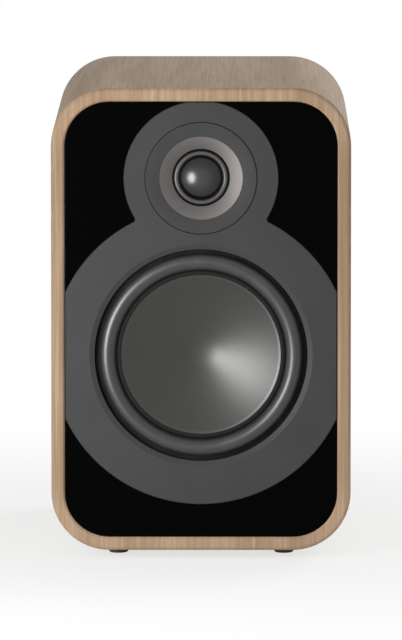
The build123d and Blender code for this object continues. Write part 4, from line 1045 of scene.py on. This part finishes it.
def studio():
    # metres and watts; each lamp aims at the middle of the front, its angle counted from straight ahead
    sizes = dict(reach=14.0, drop=0.2 * mm, worldLight=0.49, mirrored=0.58)
    lamps = dict(
        key=dict(shape="ELLIPSE", power=3.1, angle=-33.5, away=0.62, high=0.03, wide=0.26, tall=0.36),
        fill=dict(shape="DISK", power=28.0, angle=142.0, away=2.4, high=1.1, wide=1.6, tall=1.6),
    )
    mesh = bpy.data.meshes.new("floor")
    reach = sizes["reach"]
    corners = [(-reach, -reach, 0), (reach, -reach, 0), (reach, reach, 0), (-reach, reach, 0)]
    mesh.from_pydata(corners, [], [(0, 1, 2, 3)])
    floor = bpy.data.objects.new("floor", mesh)
    scene.collection.objects.link(floor)
    floor.location.z = cadBox[0].z - sizes["drop"]
    mesh.materials.append(floorFinish(sizes["mirrored"]))

    # white where it is seen, dimmer as a light and in reflections
    world = bpy.data.worlds.new("surroundings")
    scene.world = world
    world.use_nodes = True
    net = Net(world.node_tree)
    back = world.node_tree.nodes["Background"]
    back.inputs["Color"].default_value = (1, 1, 1, 1)
    ray = net.add("ShaderNodeLightPath")
    seen = net.maths("MAXIMUM", ray["Is Camera Ray"], ray["Is Transmission Ray"])
    mirror = ray["Is Glossy Ray"] * (sizes["mirrored"] - sizes["worldLight"])
    level = net.maths("MAXIMUM", seen * (1 - sizes["worldLight"]), mirror) + sizes["worldLight"]
    net.feed(back.inputs["Strength"], level)

    aim = (cadBox[0] + cadBox[1]) / 2
    aim.y = cadBox[0].y
    for name, look in lamps.items():
        lamp = bpy.data.lights.new(name, "AREA")
        lamp.shape, lamp.energy = look["shape"], look["power"]
        lamp.size, lamp.size_y = look["wide"], look["tall"]
        holder = bpy.data.objects.new(name, lamp)
        scene.collection.objects.link(holder)
        side, away = math.radians(look["angle"]), look["away"]
        holder.location = aim + Vector((math.sin(side) * away, -math.cos(side) * away, look["high"]))
        holder.rotation_euler = (aim - holder.location).to_track_quat("-Z", "Y").to_euler()


def camera():
    # straight at the front and a little above; the share is of the picture's width
    sizes = dict(away=4.8, rise=6.2, side=0.25, speakerShare=0.7462687, sensor=36.0, near=0.05, far=60.0)
    low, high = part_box("cabinet_shell")
    aim = Vector(((low.x + high.x) / 2, low.y, (low.z + high.z) / 2))
    rise, side = math.radians(sizes["rise"]), math.radians(sizes["side"])
    toward = Vector((math.sin(side) * math.cos(rise), -math.cos(side) * math.cos(rise), math.sin(rise)))
    data = bpy.data.cameras.new("camera")
    seenBy = bpy.data.objects.new("camera", data)
    scene.collection.objects.link(seenBy)
    seenBy.location = aim + sizes["away"] * toward
    seenBy.rotation_euler = (aim - seenBy.location).to_track_quat("-Z", "Y").to_euler()
    data.sensor_fit, data.sensor_width = "HORIZONTAL", sizes["sensor"]
    data.lens = sizes["sensor"] * sizes["speakerShare"] * sizes["away"] / (high.x - low.x)
    data.clip_start, data.clip_end = sizes["near"], sizes["far"]
    scene.camera = seenBy


studio()
camera()
scene.view_settings.view_transform = "Standard"
print("floor, light and camera")
